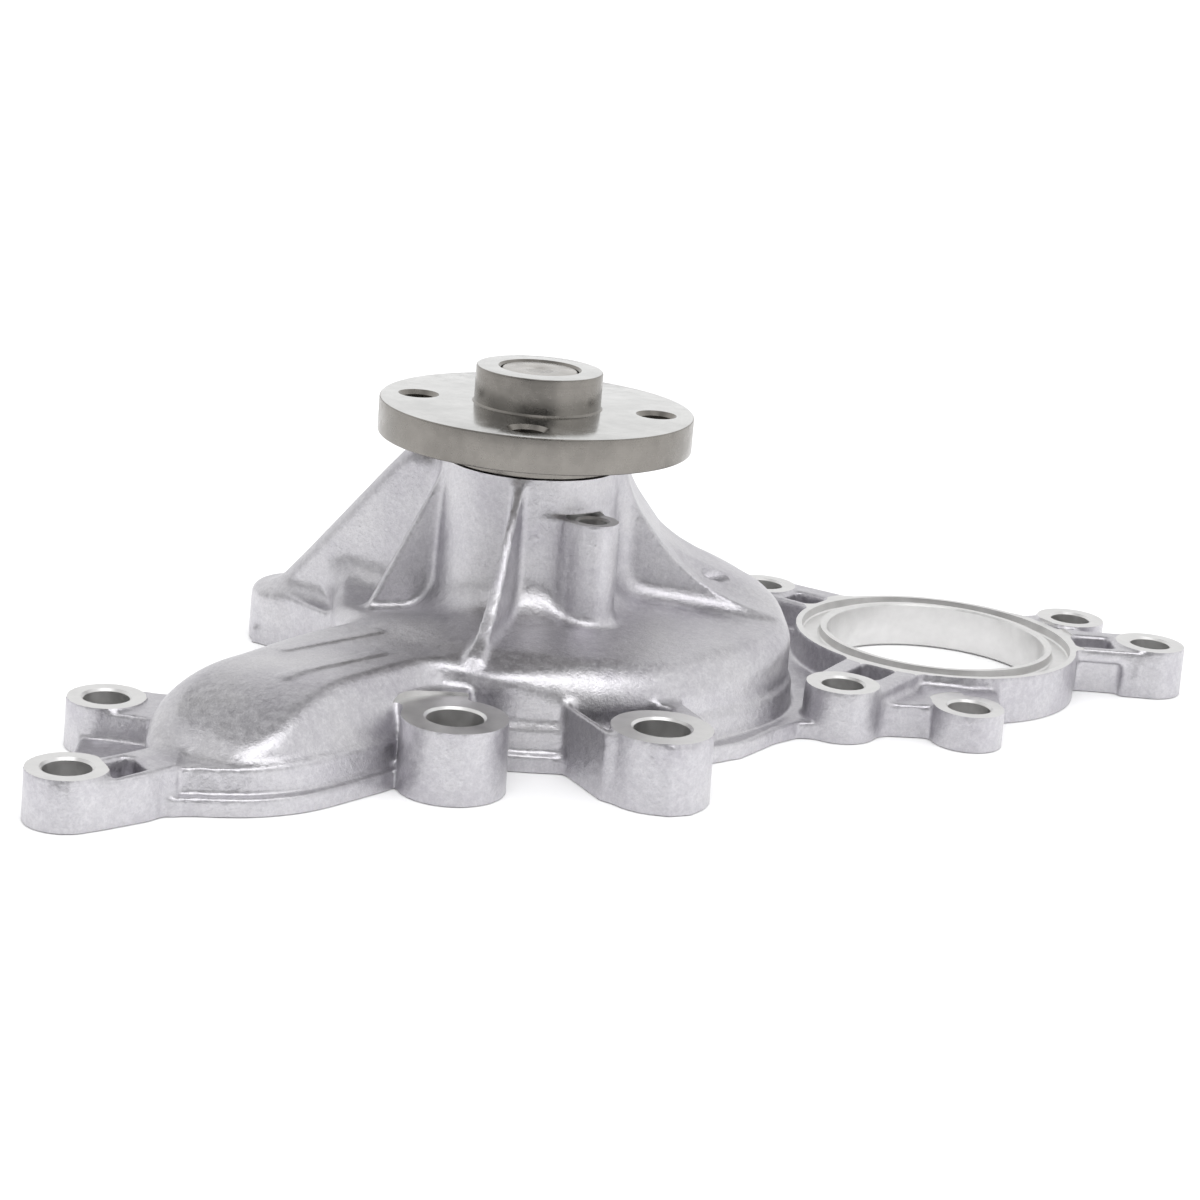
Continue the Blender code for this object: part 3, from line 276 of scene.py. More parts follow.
def shell(x, y, z, inset=0.0, drop=0.0):
    """The volute and the delivery duct in one, under a common roof."""
    reach = np.hypot(x, y)
    radius, roof, shoulder = volute_at(np.arctan2(y, x))
    volute_side = reach - radius + inset + DRAFT * z
    foot = polygon(x, y, smooth_outline(DUCT_FOOT))
    crown = polygon(x, y, smooth_outline(DUCT_CROWN))
    height = z + drop
    share = np.clip((height - DUCT_SHOULDER) / (DUCT_TOP - DUCT_SHOULDER), 0, 1)
    duct_side = foot + (crown - foot) * share + inset + 0.012 * height
    side = round_union(volute_side, duct_side, 4)
    along = x * DUCT_ALONG.x + y * DUCT_ALONG.y
    across = x * DUCT_ACROSS.x + y * DUCT_ACROSS.y
    angle = np.degrees(np.arctan2(y, x))
    back = eased(angle, -2, 12) * (1 - eased(angle, 120, 160))
    left = 1 - eased(angle, -145, -110) + eased(angle, 120, 160)
    inward = np.clip(reach / radius, 0, 1)
    dome = roof + (FRONT_RISE + (LEFT_RISE - FRONT_RISE) * left) * (1 - inward) * (1 - back)
    dome += BACK_RISE * back * (1 - inward ** 3)
    falling = DUCT_TOP - DUCT_BEND * np.maximum(along - DUCT_BEND_START, 0) ** 2
    in_duct = eased(reach - radius, -8, 4) * eased(-crown, -16, -6)
    top = dome + (falling - dome) * in_duct - drop
    duct_edge = 5.0 - 3.4 * eased(across, -6, 5)
    edge = np.maximum(shoulder + (duct_edge - shoulder) * in_duct - inset, 1.5)
    return round_common(side, (z - top) * 0.97, edge)


def upright(x, y, z, start, turn, outline, half_thickness, edge=0.5):
    """A rib on edge: a (reach, height) outline in the upright plane that leaves (start, 0) at an angle."""
    c, s = math.cos(math.radians(turn)), math.sin(math.radians(turn))
    out = (x - start) * c + y * s
    across = np.abs(y * c - (x - start) * s) - half_thickness - DRAFT * np.maximum(SNOUT_TOP - z, 0)
    return round_common(polygon(out, z, outline), across, edge)


def whole_plan(x, y):
    """The outline of the thin lip round the joint face."""
    radius = volute_at(np.arctan2(y, x))[0]
    plan = np.hypot(x, y) - radius - LIP_REACH
    plan = round_union(plan, polygon(x, y, smooth_outline(LEDGE)) - 1.8, 3)
    for outline in LIP_OUTLINES:
        plan = round_union(plan, polygon(x, y, outline), 3)
    return plan


def casting_field():
    field = Field((-92, -106, -4), (158, 80, 56))
    field.join((-75, -90, FLOOR), (64, 64, 30), shell)
    field.join((-75, -92, FLOOR), (0, -30, LEDGE_TOP),
               lambda x, y, z: plate(polygon(x, y, smooth_outline(LEDGE)), z, LEDGE_TOP, 0.5), 1.5)

    def rim(x, y, z):
        radius = volute_at(np.arctan2(y, x))[0]
        return plate(np.hypot(x, y) - radius - 0.8, z, RIM_TOP, 1.5)

    field.join((-50, -56, FLOOR), (64, 64, 10), rim, 1.5)
    add_bosses(field)
    add_port(field)
    add_snout(field)
    add_marks(field)
    field.join((-95, -110, FLOOR), (160, 84, 5), lambda x, y, z: plate(whole_plan(x, y), z, LIP_TOP, 0.5), 0.9)
    hollow(field)
    add_pockets(field)
    here, (x, y, z) = field.window(field.low, field.low + np.array(field.shape) * STEP)
    field.values = np.maximum(field.values, FLOOR - z)
    return field


def add_bosses(field):
    def front_right_block(x, y, z):
        block = plate(polygon(x, y, FRONT_RIGHT) - 0.2, z, 13.8, 0.4)
        return round_common(block, -round_common(polygon(x, y, FRONT_POCKET), 5.5 - z, 1), 0.4)

    field.join((10, -72, FLOOR), (42, -34, 15), front_right_block, 1.6)
    for _, top, fillet, outline in BLOCKS:
        xs, ys = zip(*outline)
        field.join((min(xs), min(ys), FLOOR), (max(xs), max(ys), top),
                   lambda x, y, z: plate(polygon(x, y, outline) + 0.3, z, top, 0.5), fillet)
    for name, (bx, by, top, outer, _, _) in BOSSES.items():
        ties = [t for t in TIES if t[0] == name]

        def boss(x, y, z):
            return plate(circle(x, y, (bx, by), outer - 0.15), z, top + 0.5, 0.4)

        for _, ex, ey, start_width, end_width, tie_top in ties:
            def tie(x, y, z):
                flat = bar(x, y, (bx, by), (ex, ey), start_width, end_width)
                return plate(flat, z, tie_top, 0.6)

            reach = max(start_width, end_width) / 2
            low = (min(bx, ex) - reach, min(by, ey) - reach, FLOOR)
            field.join(low, (max(bx, ex) + reach, max(by, ey) + reach, tie_top), tie,
                       3.0 if name == "far_left" else 1.6)
        if name != "back_left":
            field.join((bx - outer, by - outer, FLOOR), (bx + outer, by + outer, top), boss, 0.4)


def add_marks(field):
    """Two plain raised bars on the crown of the duct."""
    reach = MARK_LENGTH / 2 + 1
    for centre, turn in MARKS:

        def mark(x, y, z):
            flat = rounded_box(x, y, centre, MARK_LENGTH / 2, MARK_WIDTH / 2, turn, 0.5)
            return round_common(flat, shell(x, y, z) - MARK_RISE, 0.2)

        low = (centre[0] - reach, centre[1] - reach, 12)
        field.join(low, (centre[0] + reach, centre[1] + reach, 26), mark, 0.3)


def add_port(field):
    px, py = PORT
    reach = PORT_RADIUS
    field.join((px - reach, py - reach, FLOOR), (px + reach, py + reach, PORT_TOP),
               lambda x, y, z: plate(circle(x, y, PORT, PORT_RADIUS + 0.1), z, PORT_TOP + 0.4, 0.6), 1.6)


def add_snout(field):
    def barrel(x, y, z):
        radius = SNOUT_RADIUS + 0.035 * np.maximum(SNOUT_TOP - z, 0)
        return round_common(np.hypot(x, y) - radius, z - SNOUT_TOP - 3, 0.5)

    field.join((-28, -28, 12), (28, 28, 53), barrel, 7)
    for start, turn, half, outline in RIBS:
        c, s = math.cos(math.radians(turn)), math.sin(math.radians(turn))
        reach = max(r for r, _ in outline)
        low = (min(0, c * reach) - 3, min(0, s * reach) - 3, 10)
        field.join(low, (max(0, c * reach) + 6, max(0, s * reach) + 3, 53),
                   lambda x, y, z: upright(x, y, z, start, turn, outline, half, 0.15), 1.8)

    def wedge(x, y, z):
        middle, half = (WEDGE_FRONT + WEDGE_BACK) / 2, (WEDGE_BACK - WEDGE_FRONT) / 2
        across = np.abs(y - middle) - half - DRAFT * (SNOUT_TOP - z)
        return round_common(polygon(x, z, WEDGE), across, 0.3)

    field.join((0, -4, 10), (58, 24, 53), wedge, 4)
    kx, ky, k_top, k_outer = BOSSES["back_left"][:4]

    def strut(x, y, z):
        """The strut, ending inside the back left boss."""
        ridge = upright(x, y, z, 0, STRUT_TURN, STRUT, STRUT_HALF, 3.6)
        beyond = x * kx + y * ky > kx * kx + ky * ky
        return round_common(ridge, np.where(beyond, circle(x, y, (kx, ky), k_outer - 1.5), -6), 1.5)

    field.join((-68, -12, FLOOR), (4, 42, 53), strut, 4)
    field.join((kx - k_outer, ky - k_outer, FLOOR), (kx + k_outer, ky + k_outer, k_top),
               lambda x, y, z: plate(circle(x, y, (kx, ky), k_outer - 0.15), z, k_top, 1.2), 2)

    def bracket(x, y, z):
        flat = round_union(circle(x, y, BRACKET, BRACKET_RADIUS),
                           bar(x, y, (BRACKET[0] - 2.3, BRACKET[1] + 1.2), (4, -8), 10.2, 13), 0.5)
        return flat + DRAFT * (z - BRACKET_TOP)

    def above_bracket(x, y, z):
        outside_barrel = np.hypot(x, y) - SNOUT_RADIUS - 0.035 * (SNOUT_TOP - z)
        near = circle(x, y, BRACKET, 11)
        return round_common(round_common(BRACKET_TOP + 0.4 - z, -outside_barrel, 0.6), near, 0.2)

    field.join((0, -26, 12), (22, -4, 50), bracket, 2)
    field.cut((0, -30, BRACKET_TOP), (26, -6, 53), above_bracket, 0.4)


def hollow(field):
    """The chamber and channel, open at the joint face. The seal boss hangs from the roof."""
    def inside(x, y, z):
        room = shell(x, y, z, WALL, ROOF_DROP)
        room = round_common(room, z - CHAMBER_TOP + 0 * x, 2.5)
        seal_boss = round_common(np.hypot(x, y) - 17, 13.6 - z, 1.0)
        return round_common(room, -seal_boss, 1.5)

    field.cut((-72, -86, -4), (62, 62, 24), inside, 0.6)


def add_pockets(field):
    field.cut((-77, -97, 4), (-62, -80, 12),
              lambda x, y, z: round_common(polygon(x, y, NEAR_POCKET) - DRAFT * (z - 4), 4 - z, 1.2), 0.5)
    for cx, cy, half_length, half_width, turn, floor in POCKETS:
        def pocket(x, y, z):
            flat = rounded_box(x, y, (cx, cy), half_length, half_width, turn)
            return round_common(flat - DRAFT * (z - floor), floor - z, 1.2)

        field.cut((cx - 8, cy - 8, floor), (cx + 8, cy + 8, 16), pocket, 0.7)
    field.cut((126, 26, -4), (139, 33, 7.5),
              lambda x, y, z: round_common(rounded_box(x, y, (132.5, 29), 5.4, 3.2, 0), z - 7.4, 1.0), 0.6)


# ================================================================ meshes
def linked(name, data, location=AXIS):
    made = bpy.data.objects.new(name, data)
    made.location = location
    bpy.context.scene.collection.objects.link(made)
    return made


def outward(data):
    """Welds a mesh and turns its faces to point out."""
    bm = bmesh.new()
    bm.from_mesh(data)
    bmesh.ops.remove_doubles(bm, verts=bm.verts, dist=1e-6)
    if bm.calc_volume(signed=True) < 0:
        bmesh.ops.reverse_faces(bm, faces=bm.faces)
    bm.to_mesh(data)
    bm.free()


def field_mesh(name, field):
    grid = openvdb.FloatGrid(FAR)
    grid.copyFromArray(np.ascontiguousarray(field.values))
    points, triangles, quads = grid.convertToPolygons(isovalue=0, adaptivity=0)
    data = bpy.data.meshes.new(name)
    places = (np.asarray(points, float) * STEP + field.low) * MM
    faces = [list(map(int, f)) for group in (quads, triangles) for f in group]
    data.from_pydata(places.tolist(), [], faces)
    outward(data)
    return linked(name, data)


def turned(name, profile, steps=96, centre=(0, 0), closed=False):
    """A (radius, height) profile turned about an upright axis; it is a loop, or runs from axis to axis."""
    verts, rings = [], []
    for r, z in profile:
        if r < 1e-6:
            rings.append([len(verts)])
            verts.append((centre[0] * MM, centre[1] * MM, z * MM))
            continue
        rings.append(list(range(len(verts), len(verts) + steps)))
        for i in range(steps):
            turn = 2 * math.pi * i / steps
            verts.append(((centre[0] + r * math.cos(turn)) * MM, (centre[1] + r * math.sin(turn)) * MM, z * MM))
    pairs = list(zip(rings, rings[1:])) + ([(rings[-1], rings[0])] if closed else [])
    faces = []
    for one, two in pairs:
        for i in range(steps):
            j = (i + 1) % steps
            corners = [one[i % len(one)], one[j % len(one)], two[j % len(two)], two[i % len(two)]]
            faces.append(list(dict.fromkeys(corners)))
    data = bpy.data.meshes.new(name)
    data.from_pydata(verts, [], [f for f in faces if len(f) > 2])
    outward(data)
    return linked(name, data)


def box(name, low, high):
    bm = bmesh.new()
    bmesh.ops.create_cube(bm, size=1)
    size = [(b - a) * MM for a, b in zip(low, high)]
    centre = [(a + b) / 2 * MM for a, b in zip(low, high)]
    bmesh.ops.scale(bm, vec=size, verts=bm.verts)
    bmesh.ops.translate(bm, vec=centre, verts=bm.verts)
    data = bpy.data.meshes.new(name)
    bm.to_mesh(data)
    bm.free()
    return linked(name, data)


def merged(name, objects):
    """Puts meshes that stand at the same place into one object."""
    bm = bmesh.new()
    for obj in objects:
        bm.from_mesh(obj.data)
        bpy.data.objects.remove(obj)
    data = bpy.data.meshes.new(name)
    bm.to_mesh(data)
    bm.free()
    return linked(name, data)


def applied(obj):
    """Replaces an object's mesh by what its modifiers give."""
    bpy.context.view_layer.update()
    graph = bpy.context.evaluated_depsgraph_get()
    data = bpy.data.meshes.new_from_object(obj.evaluated_get(graph))
    obj.modifiers.clear()
    obj.data = data
    return obj


def boolean(target, other, operation):
    modifier = target.modifiers.new(operation, "BOOLEAN")
    modifier.solver = "MANIFOLD"
    modifier.operation = operation
    modifier.object = other
    applied(target)
    bpy.data.objects.remove(other)
    return target


def machined(obj):
    """Marks a cutter's faces as leaving machined metal."""
    obj.data.materials.clear()
    obj.data.materials.append(None)
    obj.data.materials.append(None)
    for face in obj.data.polygons:
        face.material_index = 1
    return obj


def boss_cutter(name):
    x, y, top, outer, hole, spot = BOSSES[name]
    c = 0.5
    if not spot:
        profile = [(0, -6), (hole + c, -6), (hole + c, 0), (hole, c), (hole, BLIND_DEPTH), (0, BLIND_DEPTH + 2)]
    else:
        profile = [(0, -6), (hole + c, -6), (hole + c, 0), (hole, c), (hole, top - c), (hole + c, top), (spot, top),
                   (spot, top + 7), (0, top + 7)]
    return turned(name, profile, 64, (x, y))


def port_cutter():
    c = 0.4
    low = PORT_TOP - GROOVE_DEPTH
    profile = [(0, -6), (PORT_BORE + c, -6), (PORT_BORE + c, 0), (PORT_BORE, c), (PORT_BORE, PORT_TOP - c),
               (PORT_BORE + c, PORT_TOP), (GROOVE_INNER, PORT_TOP), (GROOVE_INNER + 0.2, low + 0.3),
               (GROOVE_INNER + 0.5, low), (GROOVE_OUTER - 0.5, low), (GROOVE_OUTER - 0.2, low + 0.3),
               (GROOVE_OUTER, PORT_TOP), (PORT_RADIUS + 1.8, PORT_TOP), (PORT_RADIUS + 1.8, PORT_TOP + 7),
               (0, PORT_TOP + 7)]
    return turned("port", profile, 144, PORT)


def threads(radius, depth, bottom, top, pitch):
    """The zigzag of a tapped hole's wall, from bottom to top, as (radius, height) points."""
    count = int((top - bottom) / pitch)
    made = []
    for i in range(count):
        z = bottom + i * pitch
        made += [(radius, z), (radius, z + 0.15 * pitch), (radius + depth, z + 0.55 * pitch)]
    return made + [(radius, bottom + count * pitch)]


def bracket_cutter():
    c = 0.5
    bottom = BRACKET_TOP - BRACKET_DEPTH
    profile = [(0, bottom - 1.5), (BRACKET_HOLE, bottom)]
    profile += threads(BRACKET_HOLE, 0.35, bottom + 1, BRACKET_TOP - 1.2, 1.0)
    profile += [(BRACKET_HOLE, BRACKET_TOP - c), (BRACKET_HOLE + c, BRACKET_TOP), (5.6, BRACKET_TOP),
                (5.6, BRACKET_TOP + 0.7), (0, BRACKET_TOP + 0.7)]
    return turned("bracket", profile, 48, BRACKET)


def snout_cutter():
    """The stepped bore up the snout for the face seal, drain chamber and bearing, and the faced end."""
    profile = [(0, -6), (12.92, -6), (12.92, 19), (13.4, 19), (13.4, 22.2), (15.12, 22.2), (15.12, 50.8),
               (15.7, SNOUT_TOP), (24, SNOUT_TOP), (24, SNOUT_TOP + 6), (0, SNOUT_TOP + 6)]
    return turned("snout", profile, 128)


def weep_cutter():
    made = turned("weep", [(0, 9), (1.8, 9), (1.8, 62), (0, 62)], 32)
    made.data.transform(Matrix.Translation((0, 0, WEEP_START * MM)) @ Matrix.Rotation(WEEP_TURN, 4, "Z")
                        @ Matrix.Rotation(math.pi / 2 - WEEP_RISE, 4, "Y"))
    return made


def crisp(obj, angle=30, only=None):
    """Smooth shading with sharp edges where two faces meet at more than the angle; only limits that to a slot."""
    obj.data.shade_smooth()
    bm = bmesh.new()
    bm.from_mesh(obj.data)
    limit = math.radians(angle)
    for edge in bm.edges:
        near = edge.link_faces
        if len(near) != 2 or (only is not None and not any(f.material_index == only for f in near)):
            continue
        edge.smooth = edge.calc_face_angle(0) < limit
    bm.to_mesh(obj.data)
    bm.free()
    return obj


def pump_body():
    body = field_mesh("pump_casting", casting_field())
    body.data.materials.append(None)
    body.data.materials.append(None)
    boolean(body, machined(box("below", (-200, -200, -20), (300, 300, 0))), "DIFFERENCE")
    count = sum(len(f.vertices) - 2 for f in body.data.polygons)
    if count > BODY_TRIANGLES:
        thin = body.modifiers.new("thin", "DECIMATE")
        thin.ratio = BODY_TRIANGLES / count
        applied(body)
    near = [machined(boss_cutter(name)) for name in BOSSES if name != "port_back"]
    near += [machined(port_cutter()), machined(snout_cutter())]
    boolean(body, merged("cuts", near), "DIFFERENCE")
    more = [machined(boss_cutter("port_back")), weep_cutter(), machined(bracket_cutter())]
    boolean(body, merged("more_cuts", more), "DIFFERENCE")
    return body


# ================================================================ materials
MIX_SOCKETS = (0, 6, 7)   # a colour Mix node's Factor, A and B


class Surface:
    """A procedural Principled material. Sizes are in millimetres of the piece's own space."""

    def __init__(self, name, colour, roughness, metallic=1.0):
        self.material = bpy.data.materials.new(name)
        self.material.use_nodes = True
        self.nodes = self.material.node_tree.nodes
        self.links = self.material.node_tree.links
        self.shader = self.nodes["Principled BSDF"]
        self.shader.inputs["Metallic"].default_value = metallic
        self.shader.inputs["Roughness"].default_value = roughness
        self.shader.inputs["Base Color"].default_value = (*colour, 1)
        self.material.diffuse_color = (*colour, 1)
        place = self.nodes.new("ShaderNodeTexCoord")
        scale = self.nodes.new("ShaderNodeVectorMath")
        scale.operation = "SCALE"
        scale.inputs["Scale"].default_value = 1 / MM
        self.links.new(place.outputs["Object"], scale.inputs[0])
        self.place = scale.outputs[0]
        self.normal = None

    def math(self, operation, a, b=None):
        node = self.nodes.new("ShaderNodeMath")
        node.operation = operation
        for socket, value in zip(node.inputs, (a, b)):
            if value is None:
                continue
            if isinstance(value, (int, float)):
                socket.default_value = value
            else:
                self.links.new(value, socket)
        return node.outputs[0]

    def noise(self, size, detail=3, place=None, rough=0.55):
        node = self.nodes.new("ShaderNodeTexNoise")
        node.inputs["Scale"].default_value = 1 / size
        node.inputs["Detail"].default_value = detail
        node.inputs["Roughness"].default_value = rough
        self.links.new(place or self.place, node.inputs["Vector"])
        return node.outputs["Fac"]

    def rings(self, size, centre=(0, 0)):
        """Noise that changes only with radius and height, as lathe marks do."""
        parts = self.nodes.new("ShaderNodeSeparateXYZ")
        self.links.new(self.place, parts.inputs[0])
        x = self.math("SUBTRACT", parts.outputs[0], centre[0])
        y = self.math("SUBTRACT", parts.outputs[1], centre[1])
        radius = self.math("SQRT", self.math("ADD", self.math("MULTIPLY", x, x), self.math("MULTIPLY", y, y)))
        both = self.nodes.new("ShaderNodeCombineXYZ")
        self.links.new(radius, both.inputs[0])
        self.links.new(parts.outputs[2], both.inputs[1])
        return self.noise(size, 2, both.outputs[0])

    def spread(self, factor, low, high, start, end):
        """A factor between low and high remapped to start and end."""
        node = self.nodes.new("ShaderNodeMapRange")
        self.links.new(factor, node.inputs["Value"])
        for name, value in (("From Min", low), ("From Max", high), ("To Min", start), ("To Max", end)):
            node.inputs[name].default_value = value
        return node.outputs["Result"]

    def tint(self, factor, colours):
        """Colours in turn as the factor goes from 0 to 1."""
        node = self.nodes.new("ShaderNodeValToRGB")
        ramp = node.color_ramp
        while len(ramp.elements) < len(colours):
            ramp.elements.new(0.5)
        for element, (place, colour) in zip(ramp.elements, colours):
            element.position = place
            element.color = (*colour, 1)
        self.links.new(factor, node.inputs["Fac"])
        return node.outputs["Color"]

    def mixed(self, factor, a, b, blend="MIX"):
        node = self.nodes.new("ShaderNodeMix")
        node.data_type = "RGBA"
        node.blend_type = blend
        for index, value in zip(MIX_SOCKETS, (factor, a, b)):
            socket = node.inputs[index]
            if isinstance(value, tuple):
                socket.default_value = (*value, 1)
            elif isinstance(value, (int, float)):
                socket.default_value = value
            else:
                self.links.new(value, socket)
        return node.outputs[2]

    def bump(self, height, depth, strength=1.0):
        node = self.nodes.new("ShaderNodeBump")
        node.inputs["Distance"].default_value = depth * MM
        node.inputs["Strength"].default_value = strength
        self.links.new(height, node.inputs["Height"])
        if self.normal:
            self.links.new(self.normal, node.inputs["Normal"])
        self.normal = node.outputs["Normal"]

    def done(self, colour=None, roughness=None):
        if colour is not None:
            self.links.new(colour, self.shader.inputs["Base Color"])
        if roughness is not None:
            self.links.new(roughness, self.shader.inputs["Roughness"])
        if self.normal:
            self.links.new(self.normal, self.shader.inputs["Normal"])
        return self.material


def cast_aluminium():
    s = Surface("cast_aluminium", (0.55, 0.55, 0.57), 0.42, 0.95)
    broad = s.noise(16, 3)
    grain = s.noise(0.55, 3, rough=0.7)
    speck = s.noise(1.5, 4, rough=0.65)
    tone = s.tint(broad, [(0.3, (0.48, 0.465, 0.50)), (0.5, (0.555, 0.545, 0.57)), (0.7, (0.62, 0.61, 0.625))])
    dark = s.spread(speck, 0.42, 0.62, 0.0, 0.35)
    tone = s.mixed(dark, tone, (0.78, 0.77, 0.79))
    tone = s.mixed(s.spread(grain, 0.35, 0.6, 0.3, 0.0), tone, (0.36, 0.355, 0.39))
    s.bump(s.noise(6, 2), 0.16)
    s.bump(speck, 0.09)
    s.bump(grain, 0.08)
    return s.done(tone, s.spread(speck, 0.3, 0.7, 0.31, 0.44))


def machined_aluminium():
    s = Surface("machined_aluminium", (0.74, 0.73, 0.75), 0.3)
    marks = s.noise(0.35, 2)
    broad = s.noise(5, 3)
    tone = s.tint(broad, [(0.3, (0.66, 0.655, 0.65)), (0.7, (0.80, 0.795, 0.79))])
    s.bump(marks, 0.012)
    return s.done(tone, s.spread(broad, 0.3, 0.7, 0.30, 0.46))


def turned_steel(name, colour, roughness, marks=0.002):
    s = Surface(name, colour, roughness)
    rings = s.rings(0.22)
    stain = s.noise(9, 4, rough=0.6)
    darker = tuple(0.82 * c for c in colour)
    tone = s.tint(stain, [(0.35, darker), (0.62, colour)])
    tone = s.mixed(s.spread(rings, 0.3, 0.7, 0.0, 0.25), tone, tuple(0.7 * c for c in colour))
    s.bump(rings, marks, 0.5)
    return s.done(tone, s.spread(s.noise(3, 3), 0.3, 0.7, roughness - 0.05, roughness + 0.08))


def matt(name, colour, roughness, grain=0.5, depth=0.02):
    s = Surface(name, colour, roughness, 0.0)
    noise = s.noise(grain, 3)
    darker, lighter = tuple(0.8 * c for c in colour), tuple(min(1, 1.15 * c) for c in colour)
    tone = s.tint(s.noise(4, 3), [(0.3, darker), (0.7, lighter)])
    s.bump(noise, depth)
    return s.done(tone, s.spread(noise, 0.3, 0.7, roughness - 0.06, roughness + 0.06))


# ================================================================ turned and pressed pieces
HUB_FLANGE, HUB_TOP, HUB_THICK = 33.0, 63.5, 7.4
PILOT_RADIUS, PILOT_HEIGHT = 13.3, 7.8
HUB_NECK, HUB_NECK_BOTTOM = 18.3, 51.65
SHAFT_RADIUS, SHAFT_TOP, SHAFT_GAP = 7.96, 71.0, 0.26
TAPPED_CIRCLE, TAPPED_PHASE, TAPPED_RADIUS = 25, -3.4, 3.4   # the flange's four tapped holes


def rounded(points, radius, steps=3):
    """A profile whose corners marked True are rounded by an arc-like chamfer of the given size."""
    made = []
    for i, (r, z, soft) in enumerate(points):
        if not soft or i in (0, len(points) - 1):
            made.append((r, z))
            continue
        here = Vector((r, z))
        before = (Vector(points[i - 1][:2]) - here)
        after = (Vector(points[i + 1][:2]) - here)
        a = here + before.normalized() * min(radius, before.length / 2)
        b = here + after.normalized() * min(radius, after.length / 2)
        for k in range(steps + 1):
            t = k / steps
            p = a * (1 - t) ** 2 + here * 2 * t * (1 - t) + b * t ** 2
            made.append(tuple(p))
    return made


def pulley_hub():
    bottom, top = HUB_TOP - HUB_THICK, HUB_TOP + PILOT_HEIGHT
    bore = SHAFT_RADIUS + SHAFT_GAP
    profile = [(bore, top - 0.5, False), (bore + 0.5, top, False), (PILOT_RADIUS, top, True),
               (PILOT_RADIUS, HUB_TOP + 0.4, False), (PILOT_RADIUS + 0.4, HUB_TOP, False), (HUB_FLANGE, HUB_TOP, True),
               (HUB_FLANGE, bottom, True), (HUB_NECK + 1, bottom, False), (HUB_NECK, bottom - 1, False),
               (HUB_NECK, HUB_NECK_BOTTOM, True), (HUB_NECK - 2, HUB_NECK_BOTTOM, False),
               (HUB_NECK - 2, HUB_NECK_BOTTOM + 2.4, False), (11, HUB_NECK_BOTTOM + 2.4, False),
               (11, HUB_NECK_BOTTOM + 0.7, False), (bore, HUB_NECK_BOTTOM + 0.7, False)]
    hub = turned("pulley_hub_turned", rounded(profile, 0.45), 180, closed=True)
    holes = []
    for i in range(4):
        turn = math.radians(TAPPED_PHASE + 90 * i)
        centre = (TAPPED_CIRCLE * math.cos(turn), TAPPED_CIRCLE * math.sin(turn))
        wall = [(0, bottom - 3), (4.2, bottom - 3), (4.2, bottom)]
        wall += threads(TAPPED_RADIUS, 0.55, bottom + 0.8, HUB_TOP - 0.9, 1.25)
        wall += [(TAPPED_RADIUS, HUB_TOP - 0.9), (4.3, HUB_TOP), (4.3, HUB_TOP + 3), (0, HUB_TOP + 3)]
        holes.append(turned("tapped", wall, 48, centre))
    boolean(hub, merged("tapped_holes", holes), "DIFFERENCE")
    return crisp(hub, 28)


def shaft():
    profile = [(0, SHAFT_TOP - 0.25, False), (1.1, SHAFT_TOP - 0.25, False), (1.6, SHAFT_TOP, False),
               (SHAFT_RADIUS, SHAFT_TOP, True), (SHAFT_RADIUS, 45.2, False), (7.4, 43.5, False),
               (SHAFT_RADIUS, 41.8, False), (SHAFT_RADIUS, 20.6, False), (6.5, 20, False), (6.5, 1.6, True),
               (0, 1.6, False)]
    return crisp(turned("shaft_ground", rounded(profile, 0.6), 96), 28)


def impeller():
    """Pressed sheet wheel: a dished plate on a hub, with swept vanes."""
    top, t = 13.4, 1.6
    profile = [(6.62, 5.9, False), (10.5, 5.9, False), (13.6, 6.3, True), (17, top, True), (33, top, True),
               (33, top - t, True), (18, top - t, True), (14.8, 4.7, True), (10.5, 4.5, False), (10.5, 2, True),
               (6.62, 2, False)]
    wheel = turned("impeller_pressed", rounded(profile, 0.8), 128, closed=True)
    for i in range(7):
        boolean(wheel, vane(2 * math.pi * i / 7, top - t / 2), "UNION")
    return crisp(wheel, 30)


VANE_INNER, VANE_REACH, VANE_FOOT = 16, 16.6, 2.6


def vane(start, top):
    sweep, half, steps = math.radians(48), 0.8, 16
    bm = bmesh.new()
    sides = []
    for k in range(steps + 1):
        share = k / steps
        radius, turn = VANE_INNER + share * VANE_REACH, start - sweep * share
        along = Vector((VANE_REACH * math.cos(turn) + radius * sweep * math.sin(turn),
                        VANE_REACH * math.sin(turn) - radius * sweep * math.cos(turn))).normalized()
        centre = Vector((radius * math.cos(turn), radius * math.sin(turn)))
        side = Vector((-along.y, along.x)) * half
        ring = []
        for offset, z in ((side, top), (-side, top), (-side, VANE_FOOT), (-side * 0.5, VANE_FOOT - 0.4),
                          (side * 0.5, VANE_FOOT - 0.4), (side, VANE_FOOT)):
            p = centre + offset
            ring.append(bm.verts.new((p.x * MM, p.y * MM, z * MM)))
        sides.append(ring)
    for one, two in zip(sides, sides[1:]):
        for i in range(6):
            j = (i + 1) % 6
            bm.faces.new((one[i], one[j], two[j], two[i]))
    bm.faces.new(sides[0][::-1])
    bm.faces.new(sides[-1])
    bmesh.ops.recalc_face_normals(bm, faces=bm.faces)
    data = bpy.data.meshes.new("vane")
    bm.to_mesh(data)
    bm.free()
    return linked("vane", data)


# ================================================================ assembly
def wear(obj, *materials):
    obj.data.materials.clear()
    for material in materials:
        obj.data.materials.append(material)


